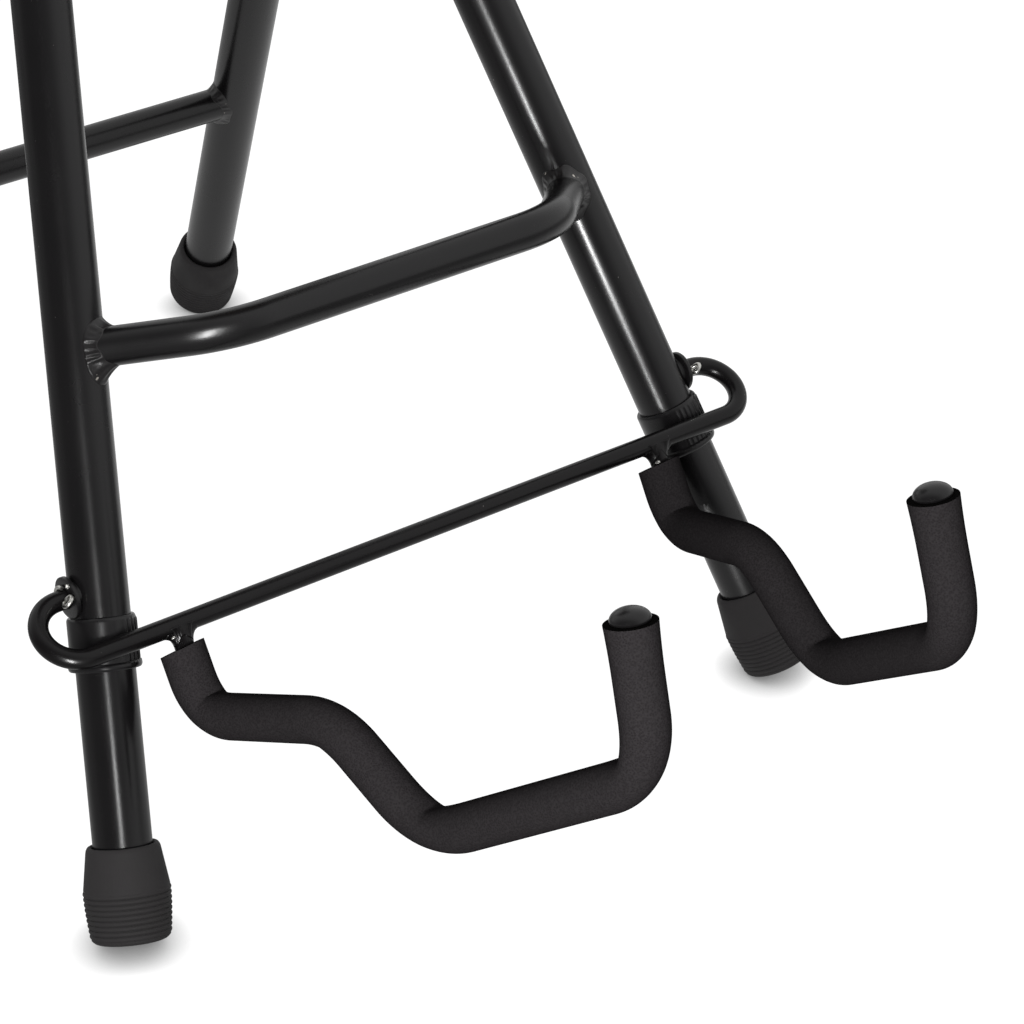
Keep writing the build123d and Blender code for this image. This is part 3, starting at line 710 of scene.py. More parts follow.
STEEL = enamelled_steel("black_enamelled_steel", "#111011", "#171617", 0.38)
WIRE = enamelled_steel("black_dipped_wire", "#0b0a0b", "#121011", 0.26)
WELD_STEEL = weld_enamel()
RUBBER = moulded_rubber()
FOAM = closed_cell_foam("closed_cell_foam", "#191718", "#201e1f", "#272526")
# The cut ends of the foam are painted darker: painted shade
CUT_FOAM_SHADE = closed_cell_foam("cut_foam_painted_shade", "#0c0b0b", "#100f0f", "#151414")
NYLON = moulded_nylon()
ZINC = zinc_plate()
VINYL = coated_vinyl()
THREAD = sewing_thread()
PLYWOOD = birch_plywood()


# Geometry Nodes trees


def new_tree(name, **kinds):
    """Empty tree with a geometry in and out, inputs of the given kinds and a material."""
    tree = bpy.data.node_groups.new(name, "GeometryNodeTree")
    tree.interface.new_socket("Geometry", in_out="OUTPUT", socket_type="NodeSocketGeometry")
    for label, kind in {"Geometry": "Geometry", **kinds, "Material": "Material"}.items():
        tree.interface.new_socket(label, in_out="INPUT", socket_type=f"NodeSocket{kind}")
    return tree, node(tree, "NodeGroupInput").outputs


def end_tree(tree, geometry, given):
    """Realizes what the tree made, sets its material and gives it out."""
    smooth = node(tree, "GeometryNodeSetShadeSmooth", {"Geometry": geometry})
    real = node(tree, "GeometryNodeRealizeInstances", {"Geometry": smooth.outputs[0]})
    paint = {"Geometry": real.outputs[0], "Material": given["Material"]}
    painted = node(tree, "GeometryNodeSetMaterial", paint)
    node(tree, "NodeGroupOutput", {"Geometry": painted.outputs[0]})
    return tree


def tube_tree():
    """Round tube along a curve."""
    tree, given = new_tree("tube_on_path", Radius="Float", Sides="Int")
    round_line = {"Resolution": given["Sides"], "Radius": given["Radius"]}
    ring = node(tree, "GeometryNodeCurvePrimitiveCircle", round_line).outputs[0]
    sweep = {"Curve": given["Geometry"], "Profile Curve": ring, "Fill Caps": True}
    return end_tree(tree, node(tree, "GeometryNodeCurveToMesh", sweep).outputs[0], given)


def weld_tree():
    """Row of overlapping weld drops along a curve, each a little different."""
    tree, given = new_tree("weld_on_path", Spacing="Float", Drop="Float", Seed="Int")
    spaced = {"Curve": given["Geometry"], "Length": given["Spacing"]}
    dots = node(tree, "GeometryNodeResampleCurve", spaced, mode="LENGTH").outputs[0]
    ball = {"Radius": given["Drop"], "Subdivisions": 2}
    drop = node(tree, "GeometryNodeMeshIcoSphere", ball).outputs[0]
    sizes = {0: (0.75, 0.75, 0.75), 1: (1.15, 1.15, 1.15), "Seed": given["Seed"]}
    size = node(tree, "FunctionNodeRandomValue", sizes, data_type="FLOAT_VECTOR").outputs[0]
    copies = {"Points": dots, "Instance": drop, "Scale": size}
    return end_tree(tree, node(tree, "GeometryNodeInstanceOnPoints", copies).outputs[0], given)


def copies_tree(tree, given, points, turn):
    """Ends a tree with copies of the given piece on points."""
    shape = node(tree, "GeometryNodeObjectInfo", {"Object": given["Piece"]}).outputs["Geometry"]
    copies = {"Points": points, "Instance": shape, "Rotation": turn}
    return end_tree(tree, node(tree, "GeometryNodeInstanceOnPoints", copies).outputs[0], given)


def row_tree():
    """Copies of a piece along a curve, turned to follow it."""
    tree, given = new_tree("row_on_path", Count="Int", Piece="Object")
    spaced = {"Curve": given["Geometry"], "Count": given["Count"]}
    dots = node(tree, "GeometryNodeCurveToPoints", spaced, mode="COUNT").outputs
    return copies_tree(tree, given, dots["Points"], dots["Rotation"])


def spot_tree():
    """A copy of a piece on each point, each turned by chance about the vertical."""
    tree, given = new_tree("piece_on_points", Piece="Object", Seed="Int")
    turns = {0: (0, 0, 0), 1: (0, 0, 2 * math.pi), "Seed": given["Seed"]}
    turn = node(tree, "FunctionNodeRandomValue", turns, data_type="FLOAT_VECTOR").outputs[0]
    return copies_tree(tree, given, given["Geometry"], turn)


TUBE = tube_tree()
WELD = weld_tree()
ROW = row_tree()
SPOT = spot_tree()


def tube(name, points, radius, finish, closed=False, sides=72):
    inputs = {"Radius": radius * MM, "Sides": sides, "Material": finish}
    return grown(name, path(points, closed), TUBE, inputs)


def weld(name, line, drop, seed, finish, closed=True):
    """Weld bead: drops along a line, melted together."""
    inputs = {"Spacing": drop * 0.8 * MM, "Drop": drop * MM, "Seed": seed, "Material": finish}
    bead = grown(name, path(line, closed), WELD, inputs, 180)
    modify(bead, "REMESH", mode="VOXEL", voxel_size=0.5 * MM, use_smooth_shade=True)
    modify(bead, "SMOOTH", factor=0.5, iterations=3)
    bead = baked(bead, name)
    bead.data.materials.clear()
    bead.data.materials.append(finish)
    return bead


# Legs, rungs and ring

for word, side in SIDES.items():
    low = front_at(0, side) + front_dir(side) * TUBE_START
    leg = tube(f"front_{word}_tube", [low, front_at(RING_Z, side)], LEG_R, STEEL, sides=128)
    settle(leg, "front_frame", "black_steel", f"front_{word}_leg")
    low = rear_at(0, side) + rear_dir(side) * TUBE_START
    high = rear_at(HINGE_Z, side) + rear_dir(side) * REAR_STUB
    leg = tube(f"rear_{word}_tube", [low, high], LEG_R, STEEL, sides=128)
    settle(leg, "rear_frame", "black_steel", f"rear_{word}_leg")

bow_corners = [(-BOW_HALF, BOW_Y, BOW_Z), (BOW_HALF, BOW_Y, BOW_Z)]
bow_corners = [front_at(FOOTREST_Z, -1)] + bow_corners + [front_at(FOOTREST_Z, 1)]
bow = tube("footrest_tube", bent(bow_corners, BOW_BEND_R)[0], RUNG_R, STEEL, sides=96)
settle(bow, "front_frame", "black_steel", "footrest_rung")
line = [rear_at(REAR_RUNG_Z, -1), rear_at(REAR_RUNG_Z, 1)]
back_rung = tube("rear_rung_tube", line, RUNG_R, STEEL, sides=96)
settle(back_rung, "rear_frame", "black_steel", "rear_rung")

plan = ((0, -1), (1, -1), (1, 1), (-1, 1), (-1, -1), (0, -1))
ring_corners = [(x * RING_X, RING_Y + y * RING_HALF_Y, RING_Z) for x, y in plan]
ring = tube("seat_ring_tube", bent(ring_corners, RING_BEND_R)[0][:-1], RUNG_R, STEEL, True, 96)
settle(ring, "front_frame", "black_steel", "seat_ring")

# Welds


def fillet(name, way, radius, post, toes, back, seed, lump, finish, hollow=0.72, sag=0.0):
    """Weld around the end of a round bar on a round post: lumpy and closed inside.

    The post is (point, direction, radius), its point on both axes. Toes are how far
    the weld reaches on the post, along it and across it, and back is how far it
    climbs the bar. A hollow of 0 draws a straight flank, and sag is the share by
    which it grows below.
    """
    point, along = post[:2]
    up = unit(along - way * along.dot(way))
    turns = full_turn(132)
    wide, tall = lumps(turns, seed, 2, 8), lumps(turns, seed + 50, 2, 8)
    ripple = lumps(turns, seed + 90, 9, 30)
    verts = []
    for i, around in enumerate(spokes(way, len(turns))):
        toe = toes[1] + (toes[0] - toes[1]) * around.dot(up) ** 2
        grow = 1 + sag * max(0.0, -around.dot(up))
        root = meet(point + around * radius, way, post)
        low = meet(point + around * (radius + toe * grow * (1 + 0.25 * wide[i])), way, post)
        high = root - way * back * grow * (1 + 0.25 * tall[i])
        middle = (low + high) / 2
        knee = root * hollow + middle * (1 - hollow)
        swell = unit(middle - root - way * 1e-6) * lump * ripple[i]
        inward = low - point
        inward = unit(inward - along * inward.dot(along))
        section = [high - around * 0.8]
        for t in np.linspace(0, 1, 10):
            curve = high * (1 - t) ** 2 + knee * 2 * t * (1 - t) + low * t * t
            section.append(curve + swell * 4 * t * (1 - t))
        section += [low - inward * 0.8, root + way - around]
        verts += section
    return solid(name, verts, ring_faces(len(turns), len(section)), finish, 180)


front_welds, rear_welds = [], []
for side in SIDES.values():
    end = front_at(FOOTREST_Z, side)
    way = unit(end - np.array((side * BOW_HALF, BOW_Y, BOW_Z)))
    post = (end, front_dir(side), LEG_R)
    bar = ("rung_weld", way, RUNG_R, post)
    sag = 0.2 - 0.2 * side
    front_welds.append(fillet(*bar, (5.4, 2.0), 4.8, 13 + side, 0.45, WELD_STEEL, 0.35, sag))
    end = rear_at(REAR_RUNG_Z, side)
    bar = ("rear_weld", ACROSS * side, RUNG_R, (end, rear_dir(side), LEG_R))
    rear_welds.append(fillet(*bar, (4.6, 1.8), 4.0, 27 + side, 0.4, WELD_STEEL, 0.45))
    top = front_at(RING_Z, side)
    post = (top, front_dir(side), LEG_R)
    for way in (1.0, -1.0):
        along = np.array((0, way, 0))
        line = [meet(top + spoke * RUNG_R, along, post) for spoke in spokes(along, 72)]
        line = [p for p in line if (p - top).dot(front_dir(side)) < -0.5]
        start = max(range(len(line)), key=lambda i: np.linalg.norm(line[i] - line[i - 1]))
        line = line[start:] + line[:start]
        front_welds.append(weld("ring_weld", line, 1.9, 5 + side, WELD_STEEL, False))
    for face, sign in ((LUG_OUT_X, 1), (LUG_IN_X, -1)):
        line = []
        for z in np.linspace(HINGE_Z - 13, HINGE_Z + 13, 14):
            axis = front_at(z, side)
            behind = math.sqrt(LEG_R**2 - (face - abs(axis[0])) ** 2) * 1.1
            line.append((side * (face + 0.4 * sign), axis[1] + behind, z))
        front_welds.append(weld("lug_weld", line, 1.7, 9 + side, WELD_STEEL, False))
settle(joined("front_frame_welds", front_welds), "front_frame", "black_steel")
settle(joined("rear_frame_welds", rear_welds), "rear_frame", "black_steel")

# Rubber feet


def foot_profile():
    """Half section of a foot: base, nine ribs on the lower half, smooth neck, rim."""
    line = [(0, FOOT_LOW), (17.0, FOOT_LOW), (18.6, FOOT_LOW + 1.6)]
    low, high, count = FOOT_LOW + 2.2, FOOT_LOW + 24.6, 9
    for i in range(count):
        for t, out in ((0.0, -0.7), (0.25, 0.05), (0.6, 0.2), (0.9, -0.3)):
            share = (i + t) / count
            radius = FOOT_LOW_R + (FOOT_WIDE_R - FOOT_LOW_R) * math.sin(share * math.pi / 2)
            line.append((radius + out, low + (high - low) * share))
    line += [(20.2, high + 0.6), (17.4, FOOT_HIGH - 1.6), (16.4, FOOT_HIGH), (15.1, FOOT_HIGH)]
    line += [(14.35, FOOT_HIGH - 1.2), (14.2, FOOT_HIGH - 8.0), (0, FOOT_HIGH - 8.0)]
    return rounded(line, 0.9, 4)


def rubber_foot(name, origin, axis):
    """Foot on a leg's axis, cut off flat at the ground."""
    foot = turned(name, foot_profile(), origin, axis, RUBBER, 128, 50)
    ground = {"plane_co": (0, 0, 0), "plane_no": (0, 0, -1), "clear_outer": True}
    with editing(foot.data) as shell:
        everything = shell.verts[:] + shell.edges[:] + shell.faces[:]
        cut = bmesh.ops.bisect_plane(shell, geom=everything, **ground)
        rim = [item for item in cut["geom_cut"] if isinstance(item, bmesh.types.BMEdge)]
        bmesh.ops.edgeloop_fill(shell, edges=rim)
    finish_mesh(foot.data, 50)
    return foot


for word, side in SIDES.items():
    foot = rubber_foot(f"front_{word}_boot", front_at(0, side), front_dir(side))
    settle(foot, "front_frame", "black_rubber", f"front_{word}_foot")
    foot = rubber_foot(f"rear_{word}_boot", rear_at(0, side), rear_dir(side))
    settle(foot, "rear_frame", "black_rubber", f"rear_{word}_foot")

# Hinge of the rear frame


def hexagon(name, place, way, height, finish, hole=0.0):
    """Hexagon head or nut with its corners turned off, across flats NUT_AF."""
    flat, count = NUT_AF / 2, 72
    bevel = math.tan(math.radians(30))
    verts = []
    for turn, around in zip(full_turn(count), spokes(way, count)):
        out = flat / math.cos((turn % (math.pi / 3)) - math.pi / 6)
        drop = (out - flat + 0.25) * bevel
        rings = [(max(hole, 0.01), 0), (flat - 0.25, 0), (out, drop if hole else 0.0)]
        rings += [(out, height - drop), (flat - 0.25, height), (max(hole, 0.01), height)]
        verts += [place + around * r + way * h for r, h in rings]
    return solid(name, verts, ring_faces(count, len(rings)), finish, 25)


bolts, nuts, spacers = [], [], []
for word, side in SIDES.items():
    lug = eased(f"{word}_hinge_lug", f"{word}_lug_plate", STEEL, 0.9)
    settle(lug, "front_frame", "black_steel", f"{word}_hinge_lug")
    out = ACROSS * side
    pin = np.array((0, HINGE_Y, HINGE_Z))
    flange = [(0, 0), (7.6, 0), (8.0, 0.3), (8.0, 0.8), (7.4, 1.2), (0, 1.5)]
    bolts.append(turned("flange", rounded(flange, 0.3, 3), pin + out * BOLT_HEAD_X, out, ZINC, 48))
    bolts.append(hexagon("head", pin + out * (BOLT_HEAD_X + 1.1), out, 5.4, ZINC))
    shank = [(0, 0), (3.3, 0), (4.0, 0.7)]
    for turn in range(8):
        shank += [(4.0, 0.9 + turn * 1.25), (3.45, 1.5 + turn * 1.25)]
    shank += [(4.0, 11.2), (4.0, BOLT_LEN), (0, BOLT_LEN)]
    bolts.append(turned("shank", shank, pin + out * BOLT_END_X, out, ZINC, 36, 20))
    nuts.append(hexagon("nut", pin + out * (LUG_IN_X - 6.5), out, 6.5, ZINC, 4.02))
    bush = [(4.0, 0), (8.4, 0), (9.0, 0.6), (9.0, 5.2), (8.4, 5.8), (4.0, 5.8), (4.0, 0)]
    spacers.append(turned("spacer", bush, pin + out * LUG_OUT_X, out, NYLON, 64))
    top = rear_at(HINGE_Z, side) + rear_dir(side) * REAR_STUB
    ball = (LEG_R**2 + 4.0**2) / 8.0
    profile = [(0, -6), (12.3, -6), (12.3, 0.0), (13.6, 0.0), (LEG_R, 0.4)]
    profile += dome(ball, ball, math.asin(LEG_R / ball), 5.5 - ball, 12)[:-1] + [(0, 5.5)]
    plug = turned(f"{word}_tube_plug", profile, top, rear_dir(side), NYLON, 96)
    settle(plug, "rear_frame", "black_plastic", f"{word}_leg_plug")
settle(joined("hinge_hex_bolts", bolts), "front_frame", "zinc", "hinge_bolts")
settle(joined("hinge_hex_nuts", nuts), "front_frame", "zinc", "hinge_nuts")
settle(joined("hinge_bushes", spacers), "front_frame", "black_plastic", "hinge_spacers")

# Collars and saddle washers of the cradle's pivot


def collar(name, base, axis, middle):
    """Moulded collar: rounded lip, grip flutes on one side about the middle, in degrees."""
    first, second = square_to(axis)
    count = 288
    verts = []
    heights = [0.0, 0.3, 0.9, 1.6, 2.4, 3.0, 3.4, 3.8, 4.6, 8.0, 12.0, 16.0, 20.0, 22.2, 22.8]
    heights += [23.4, 24.1, 24.5, COLLAR_LEN]
    for turn in np.linspace(-math.pi, math.pi, count, endpoint=False):
        around = first * math.cos(turn) + second * math.sin(turn)
        off = turn - math.radians(middle)
        comb = max(0.0, math.cos(off * 360 / FLUTE_PITCH)) ** 0.6
        comb *= max(0.0, min(1.0, (math.radians(FLUTE_SPAN) - abs(off)) / math.radians(4)))
        verts.append(base + around * COLLAR_IN_R + axis * 0.2)
        for up in heights:
            out = COLLAR_R
            if up < LIP_TOP:
                out += LIP_RISE * math.sqrt(max(0.0, 1 - ((up - LIP_MID) / LIP_HALF) ** 2))
            ease = max(0.0, min(1.0, (up - 2.6) / 1.0, (23.0 - up) / 0.9))
            out += FLUTE_RISE * comb * ease
            if up > 23.3:
                out -= 0.7 * ((up - 23.3) / 1.3) ** 2
            verts.append(base + around * out + axis * up)
        verts.append(base + around * COLLAR_IN_R + axis * (COLLAR_LEN - 0.3))
    return solid(name, verts, ring_faces(count, len(heights) + 2), NYLON, 50)


for word, side in SIDES.items():
    base = front_at(COLLAR_Z, side) - front_dir(side) * COLLAR_LEN / 2
    moulding = collar(f"{word}_collar_moulding", base, front_dir(side), 38 - 14 * side)
    settle(moulding, "front_frame", "black_plastic", f"{word}_collar")
    profile = [(4.85, 8.0), (4.85, 17.2), (10.2, 16.9), (10.2, 14.6), (7.2, 14.2), (7.2, 8.0)]
    profile.append(profile[0])
    pivot = np.array((side * PIVOT_X, PIVOT_Y, PIVOT_Z))
    washer = turned(f"{word}_saddle_washer", rounded(profile, 0.5), pivot, ACROSS * side, NYLON, 64)
    settle(washer, "front_frame", "black_plastic", f"{word}_pivot_washer")

# Cradle wire: yoke, arms, caps and pins

LOOP_R = math.hypot(PIVOT_Y - BAR_Y, PIVOT_Z - BAR_Z) / 2
loop_mid = np.array(((PIVOT_Y + BAR_Y) / 2, (PIVOT_Z + BAR_Z) / 2))
loop_arm = np.array((PIVOT_Y, PIVOT_Z)) - loop_mid


def loop_line(side):
    """Half circle of the yoke from the pivot line round to the bar."""
    line = []
    for turn in np.linspace(0, math.pi, 40):
        y, z = loop_mid + loop_arm * math.cos(turn)
        line.append(np.array((side * (LOOP_X + LOOP_R * math.sin(turn)), y, z)))
    return line


left_loop, right_loop = loop_line(-1), loop_line(1)
bar_line = [np.array((x, BAR_Y, BAR_Z)) for x in np.linspace(-LOOP_X, LOOP_X, 60)]
yoke_line = [np.array((-PIVOT_X + YOKE_END, PIVOT_Y, PIVOT_Z))] + left_loop + bar_line[1:-1]
yoke_line = yoke_line + right_loop[::-1] + [np.array((PIVOT_X - YOKE_END, PIVOT_Y, PIVOT_Z))]
yoke = tube("yoke_wire", yoke_line, WIRE_R, WIRE, sides=64)
settle(yoke, "cradle", "black_steel", "cradle_yoke")


def foam_sleeve(name, corners):
    """Foam tube on a bent arm: round outside, pinched to a crease inside each bend."""
    points, bends = bent(corners, ARM_BEND_R, FOAM_CREASE, 1.2)
    plane = unit(np.cross(corners[2] - corners[1], corners[3] - corners[2]))
    count, sides = len(points), 72
    ways = np.gradient(points, axis=0)
    verts = []
    lengths = np.concatenate(([0], np.cumsum(np.linalg.norm(np.diff(points, axis=0), axis=1))))
    for i in range(count):
        way = unit(ways[i])
        inner = np.cross(plane, way)
        depth = np.linalg.norm(bends[i])
        toward = bends[i] / depth if depth > 1e-9 else inner
        flare = FOAM_FLARE * max(0.0, 1 - (lengths[-1] - lengths[i]) / FLARE_LEN) ** 2
        for turn in full_turn(sides):
            around = plane * math.cos(turn) + inner * math.sin(turn)
            facing = max(0.0, around.dot(toward))
            pinch = min(MOST_PINCH, depth) * facing**1.6
            bulge = 0.06 * depth * abs(around.dot(plane)) ** 2
            lean = ROOT_CUT_LEAN[0] * around[0] + ROOT_CUT_LEAN[1] * around[1]
            skew = FOAM_R * lean * max(0.0, 1 - lengths[i] / ROOT_CUT_LEN)
            verts.append(points[i] + around * (FOAM_R + flare - pinch + bulge) - way * skew)
    faces = ring_faces(count, sides, closed=False)
    for i, pole in ((0, points[0]), (count - 1, points[-1])):
        hub = len(verts)
        verts.append(pole)
        for j in range(sides):
            faces.append([hub, i * sides + j, i * sides + (j + 1) % sides])
    sleeve = solid(name, verts, faces, FOAM, 50)
    # Both cut ends take the darker foam, painted shade
    sleeve.data.materials.append(CUT_FOAM_SHADE)
    for face in sleeve.data.polygons[-2 * sides :]:
        face.material_index = 1
    return sleeve


for word, side in SIDES.items():
    corners = [arm_at(0, 0, side)] + [arm_at(*bend, side) for bend in ARM_BENDS]
    corners.append(arm_at(*ARM_TIP, side))
    end_way = unit(corners[-1] - corners[-2])
    root_way = unit(corners[1] - corners[0])
    line = bent(corners[:-1] + [corners[-1] + end_way * 3.0], ARM_BEND_R)[0]
    rod = tube(f"{word}_arm_wire", line, WIRE_R, WIRE, sides=48)
    settle(rod, "cradle", "black_steel", f"{word}_arm_rod")
    shift = unit(np.cross(root_way, np.cross(root_way, corners[2] - corners[1])))
    foam_root = corners[0] + root_way * FOAM_START + shift * FOAM_SHIFT
    sleeve = foam_sleeve(f"{word}_foam_tube", [foam_root] + corners[1:])
    settle(sleeve, "cradle", "black_foam", f"{word}_foam_sleeve")
    profile = [(0, 0.15), (8.4, 0.15), (8.8, 0.5)]
    profile += dome(CAP_R, CAP_RISE, math.pi / 2, 1.2, 14)[:-1] + [(0, 6.5)]
    cap = turned(f"{word}_arm_button", profile, corners[-1], end_way, NYLON, 72, 60)
    settle(cap, "cradle", "black_plastic", f"{word}_arm_cap")

# Flared welds of the arms under the bar, and the split pins through the yoke

flares = []
for side in SIDES.values():
    root = arm_at(0, 0, side)
    way = unit(root - arm_at(*ARM_BENDS[0], side))
    bar = ("arm_weld", way, WIRE_R, (root, ACROSS, WIRE_R))
    flares.append(fillet(*bar, (4.8, 0.0), 5.0, 41 + side, 0.1, WIRE))
    bead = dome(BARE_BEAD_R, BARE_BEAD_R, math.pi, 0, 8)
    flares.append(turned("bare_bead", bead, root + BARE_BEADS[side], ACROSS, ZINC, 16, 180))
settle(joined("arm_root_welds", flares), "cradle", "black_steel")


def arc(radius, degrees, ahead=0.0):
    """Points around the pin's middle, or around a point ahead of it."""
    return [(ahead + radius * math.cos(t), radius * math.sin(t)) for t in np.radians(degrees)]


pins = []
for side in SIDES.values():
    eye = arc(PIN_EYE_R, np.linspace(20, 340, 40), -8.5)
    curl, hook = arc(PIN_CURL_R, range(112, 15, -16)), arc(PIN_CURL_R, range(-16, -53, -12))
    line = curl + [(5.3, 0.85), (4.2, 0.62), (-4.4, 0.62), (-5.4, 0.7)] + eye
    line += [(-5.4, -0.7), (-4.4, -0.62), (4.2, -0.62), (5.3, -0.85)] + hook
    bent_pin = []
    for y, z in line:
        share = max(0.0, min(1.0, (-5.0 - y) / 0.6))
        x = side * (COTTER_X + 1.5 * share) + z * share * math.sin(PIN_TWIST)
        z *= 1 - share + share * math.cos(PIN_TWIST)
        ahead = y * math.cos(PIN_TIP) + z * math.sin(PIN_TIP)
        rise = z * math.cos(PIN_TIP) - y * math.sin(PIN_TIP)
        bent_pin.append((x, PIVOT_Y + ahead, PIVOT_Z + rise))
    pins.append(tube("pin", bent_pin, 1.0, ZINC, sides=16))
settle(joined("split_pins", pins), "cradle", "zinc", "cotter_pins")

# Seat: cushion, piping, top stitch, turned-under vinyl, staples, blocks and screws

SEAT_MID = np.array((0.0, RING_Y, 0.0))
BASE_R, BASE_Z = 156.4, 580.6
CROWN_RISE, MOST_SWELL, PIPING_R = 10.5, 5.0, 3.0
STITCH_R, STAPLE_R, HEM_R, HEM_Z = 150.5, 131.0, 149.0, 577.3
SCREW_X, SCREW_Y = 28.0, 20.0


def on_seat(reach, turn, height):
    """Point at a reach and a turn about the middle of the seat."""
    return SEAT_MID + (reach * math.cos(turn), reach * math.sin(turn), height)


def disc_grid(count):
    """Square grid pressed into a unit disc, so that it has no pole, and its rim in order."""
    steps = np.linspace(-1, 1, count + 1)
    points = []
    for a, b in itertools.product(steps, steps):
        if a == 0 and b == 0:
            out, turn = 0.0, 0.0
        elif abs(a) > abs(b):
            out, turn = a, math.pi / 4 * b / a
        else:
            out, turn = b, math.pi / 2 - math.pi / 4 * a / b
        points.append((out * math.cos(turn), out * math.sin(turn)))
    index = np.arange(len(points)).reshape(count + 1, count + 1)
    quads = np.stack((index[:-1, :-1], index[1:, :-1], index[1:, 1:], index[:-1, 1:]), axis=2)
    rim = (index[:-1, 0], index[-1, :-1], index[:0:-1, -1], index[0, :0:-1])
    return np.array(points), quads.reshape(-1, 4).tolist(), np.concatenate(rim).tolist()


def inflate(piece, held, most):
    """Blows up a closed mesh as cloth: held points stay, no point moves more than most."""
    group = piece.vertex_groups.new(name="held")
    group.add(held, 1.0, "REPLACE")
    cloth = modify(piece, "CLOTH")
    cloth.settings.quality = 6
    cloth.settings.mass = 0.4
    cloth.settings.tension_stiffness = cloth.settings.compression_stiffness = 12
    cloth.settings.bending_stiffness = 0.6
    cloth.settings.use_pressure = True
    cloth.settings.uniform_pressure_force = 4.0
    cloth.settings.effector_weights.gravity = 0
    cloth.settings.vertex_group_mass = "held"
    cloth.collision_settings.use_collision = False
    cloth.point_cache.frame_start, cloth.point_cache.frame_end = 1, 20
    for step in range(1, 21):
        bpy.context.scene.frame_set(step)
    depsgraph = bpy.context.evaluated_depsgraph_get()
    blown = piece.evaluated_get(depsgraph)
    before = coords(piece.data)
    move = coords(blown.data) - before
    piece.modifiers.remove(cloth)
    bpy.context.scene.frame_set(1)
    far = np.linalg.norm(move, axis=1, keepdims=True)
    move = move * np.tanh(far / (most * MM)) * most * MM / np.maximum(far, 1e-9)
    piece.data.vertices.foreach_set("co", (before + move).ravel())
    piece.vertex_groups.clear()


GRID = 64
disc, quads, rim = disc_grid(GRID)
around = np.arctan2(disc[rim, 1], disc[rim, 0])
out = np.linalg.norm(disc, axis=1)
top = np.column_stack((disc * SEAM_R, SEAM_Z + CROWN_RISE * (1 - out**2.4)))
verts, faces = [SEAT_MID + p for p in top], list(quads)
ring_before = rim
band = [(160.0, 624.5), (161.2, 619.0), (161.8, 612.0), (161.6, 604.0), (160.8, 596.0)]
band += [(159.2, 589.0), (157.6, 584.0), (BASE_R, BASE_Z + 0.4)]
held = list(rim)
for number, (reach, height) in enumerate(band):
    ring_now = list(range(len(verts), len(verts) + len(rim)))
    verts += [on_seat(reach, turn, height) for turn in around]
    if number >= len(band) - 2:
        held += ring_now
    faces += strip(ring_before, ring_now)
    ring_before = ring_now
base = {}
for i, (x, y) in enumerate(disc):
    if i in rim:
        base[i] = ring_before[rim.index(i)]
    else:
        base[i] = len(verts)
        held.append(len(verts))
        verts.append(SEAT_MID + (x * BASE_R, y * BASE_R, BASE_Z))
faces += [[base[i] for i in reversed(q)] for q in quads]
cushion = solid("seat_pad", verts, faces, VINYL, 180)
inflate(cushion, held, MOST_SWELL)
shape = coords(cushion.data) / MM - SEAT_MID
reach = np.hypot(shape[:, 0], shape[:, 1])
turns = np.arctan2(shape[:, 1], shape[:, 0])
# The seam gathers the vinyl: short puckers above and below it, long soft draws on the band
near = np.exp(-np.abs(shape[:, 2] - SEAM_Z) / 9.0) * (reach > 120)
inner = np.exp(-np.abs(SEAM_R - reach) / 12.0)
pucker = lumps(turns, 61, 40, 62) * near * inner
draw = lumps(turns, 62, 9, 24) * np.exp(-(((shape[:, 2] - 600.0) / 16.0) ** 2))
draw *= shape[:, 2] < 622
slack = lumps(turns, 63, 2, 6) * np.clip(1 - reach / 150.0, 0, 1) * np.clip(reach / 70.0, 0, 1)
push = 1 + (0.55 * pucker + 0.7 * draw) / np.maximum(reach, 1.0)
shape[:, 0] *= push
shape[:, 1] *= push
shape[:, 2] += np.where(shape[:, 2] > SEAM_Z - 1, 0.5 * pucker + 0.7 * slack, 0.0)
shape[:, 2] = np.minimum(shape[:, 2], CROWN_Z)
cushion.data.vertices.foreach_set("co", ((shape + SEAT_MID) * MM).ravel())
modify(cushion, "SUBSURF", levels=1, render_levels=1)
cushion = baked(cushion, "seat_pad")
finish_mesh(cushion.data, 180)
settle(cushion, "seat", "black_vinyl", "seat_cushion")

circle = full_turn(288)
sway = lumps(circle, 64, 3, 12) * 0.35
line = [on_seat(SEAM_R + 0.4 * s, t, SEAM_Z + s) for t, s in zip(circle, sway)]
piping = tube("seat_welt", line, PIPING_R, VINYL, True, 20)
settle(piping, "seat", "black_vinyl", "seat_piping")

surface = BVHTree.FromObject(cushion, bpy.context.evaluated_depsgraph_get())
line = []
for t in circle:
    place = on_seat(STITCH_R, t, CROWN_Z + 20)
    hit = surface.ray_cast(Vector(place * MM), Vector((0, 0, -1)))[0]
    line.append(np.array(hit) / MM + (0, 0, 0.15))
profile = [(0, -1.6), (0.4, -1.2), (0.5, 0), (0.4, 1.2), (0, 1.6)]
thread = turned("thread", profile, np.zeros(3), (0, 0, 1), THREAD, 6, 180)
stitches = copied("seat_top_stitch", path(line, True), ROW, thread, THREAD, 180, Count=236)
settle(stitches, "seat", "black_vinyl")

# Vinyl turned under the board and stapled, gathered into pleats
count = 720
turns = full_turn(count)
fold = np.maximum(0, lumps(turns, 65, 26, 60)) ** 1.3
edge = lumps(turns, 66, 3, 20)
verts = []


def hem_drop(share, i):
    """How far a pleat hangs, from the board's edge inwards."""
    return 1.5 * fold[i] * (0.25 + 0.75 * share)


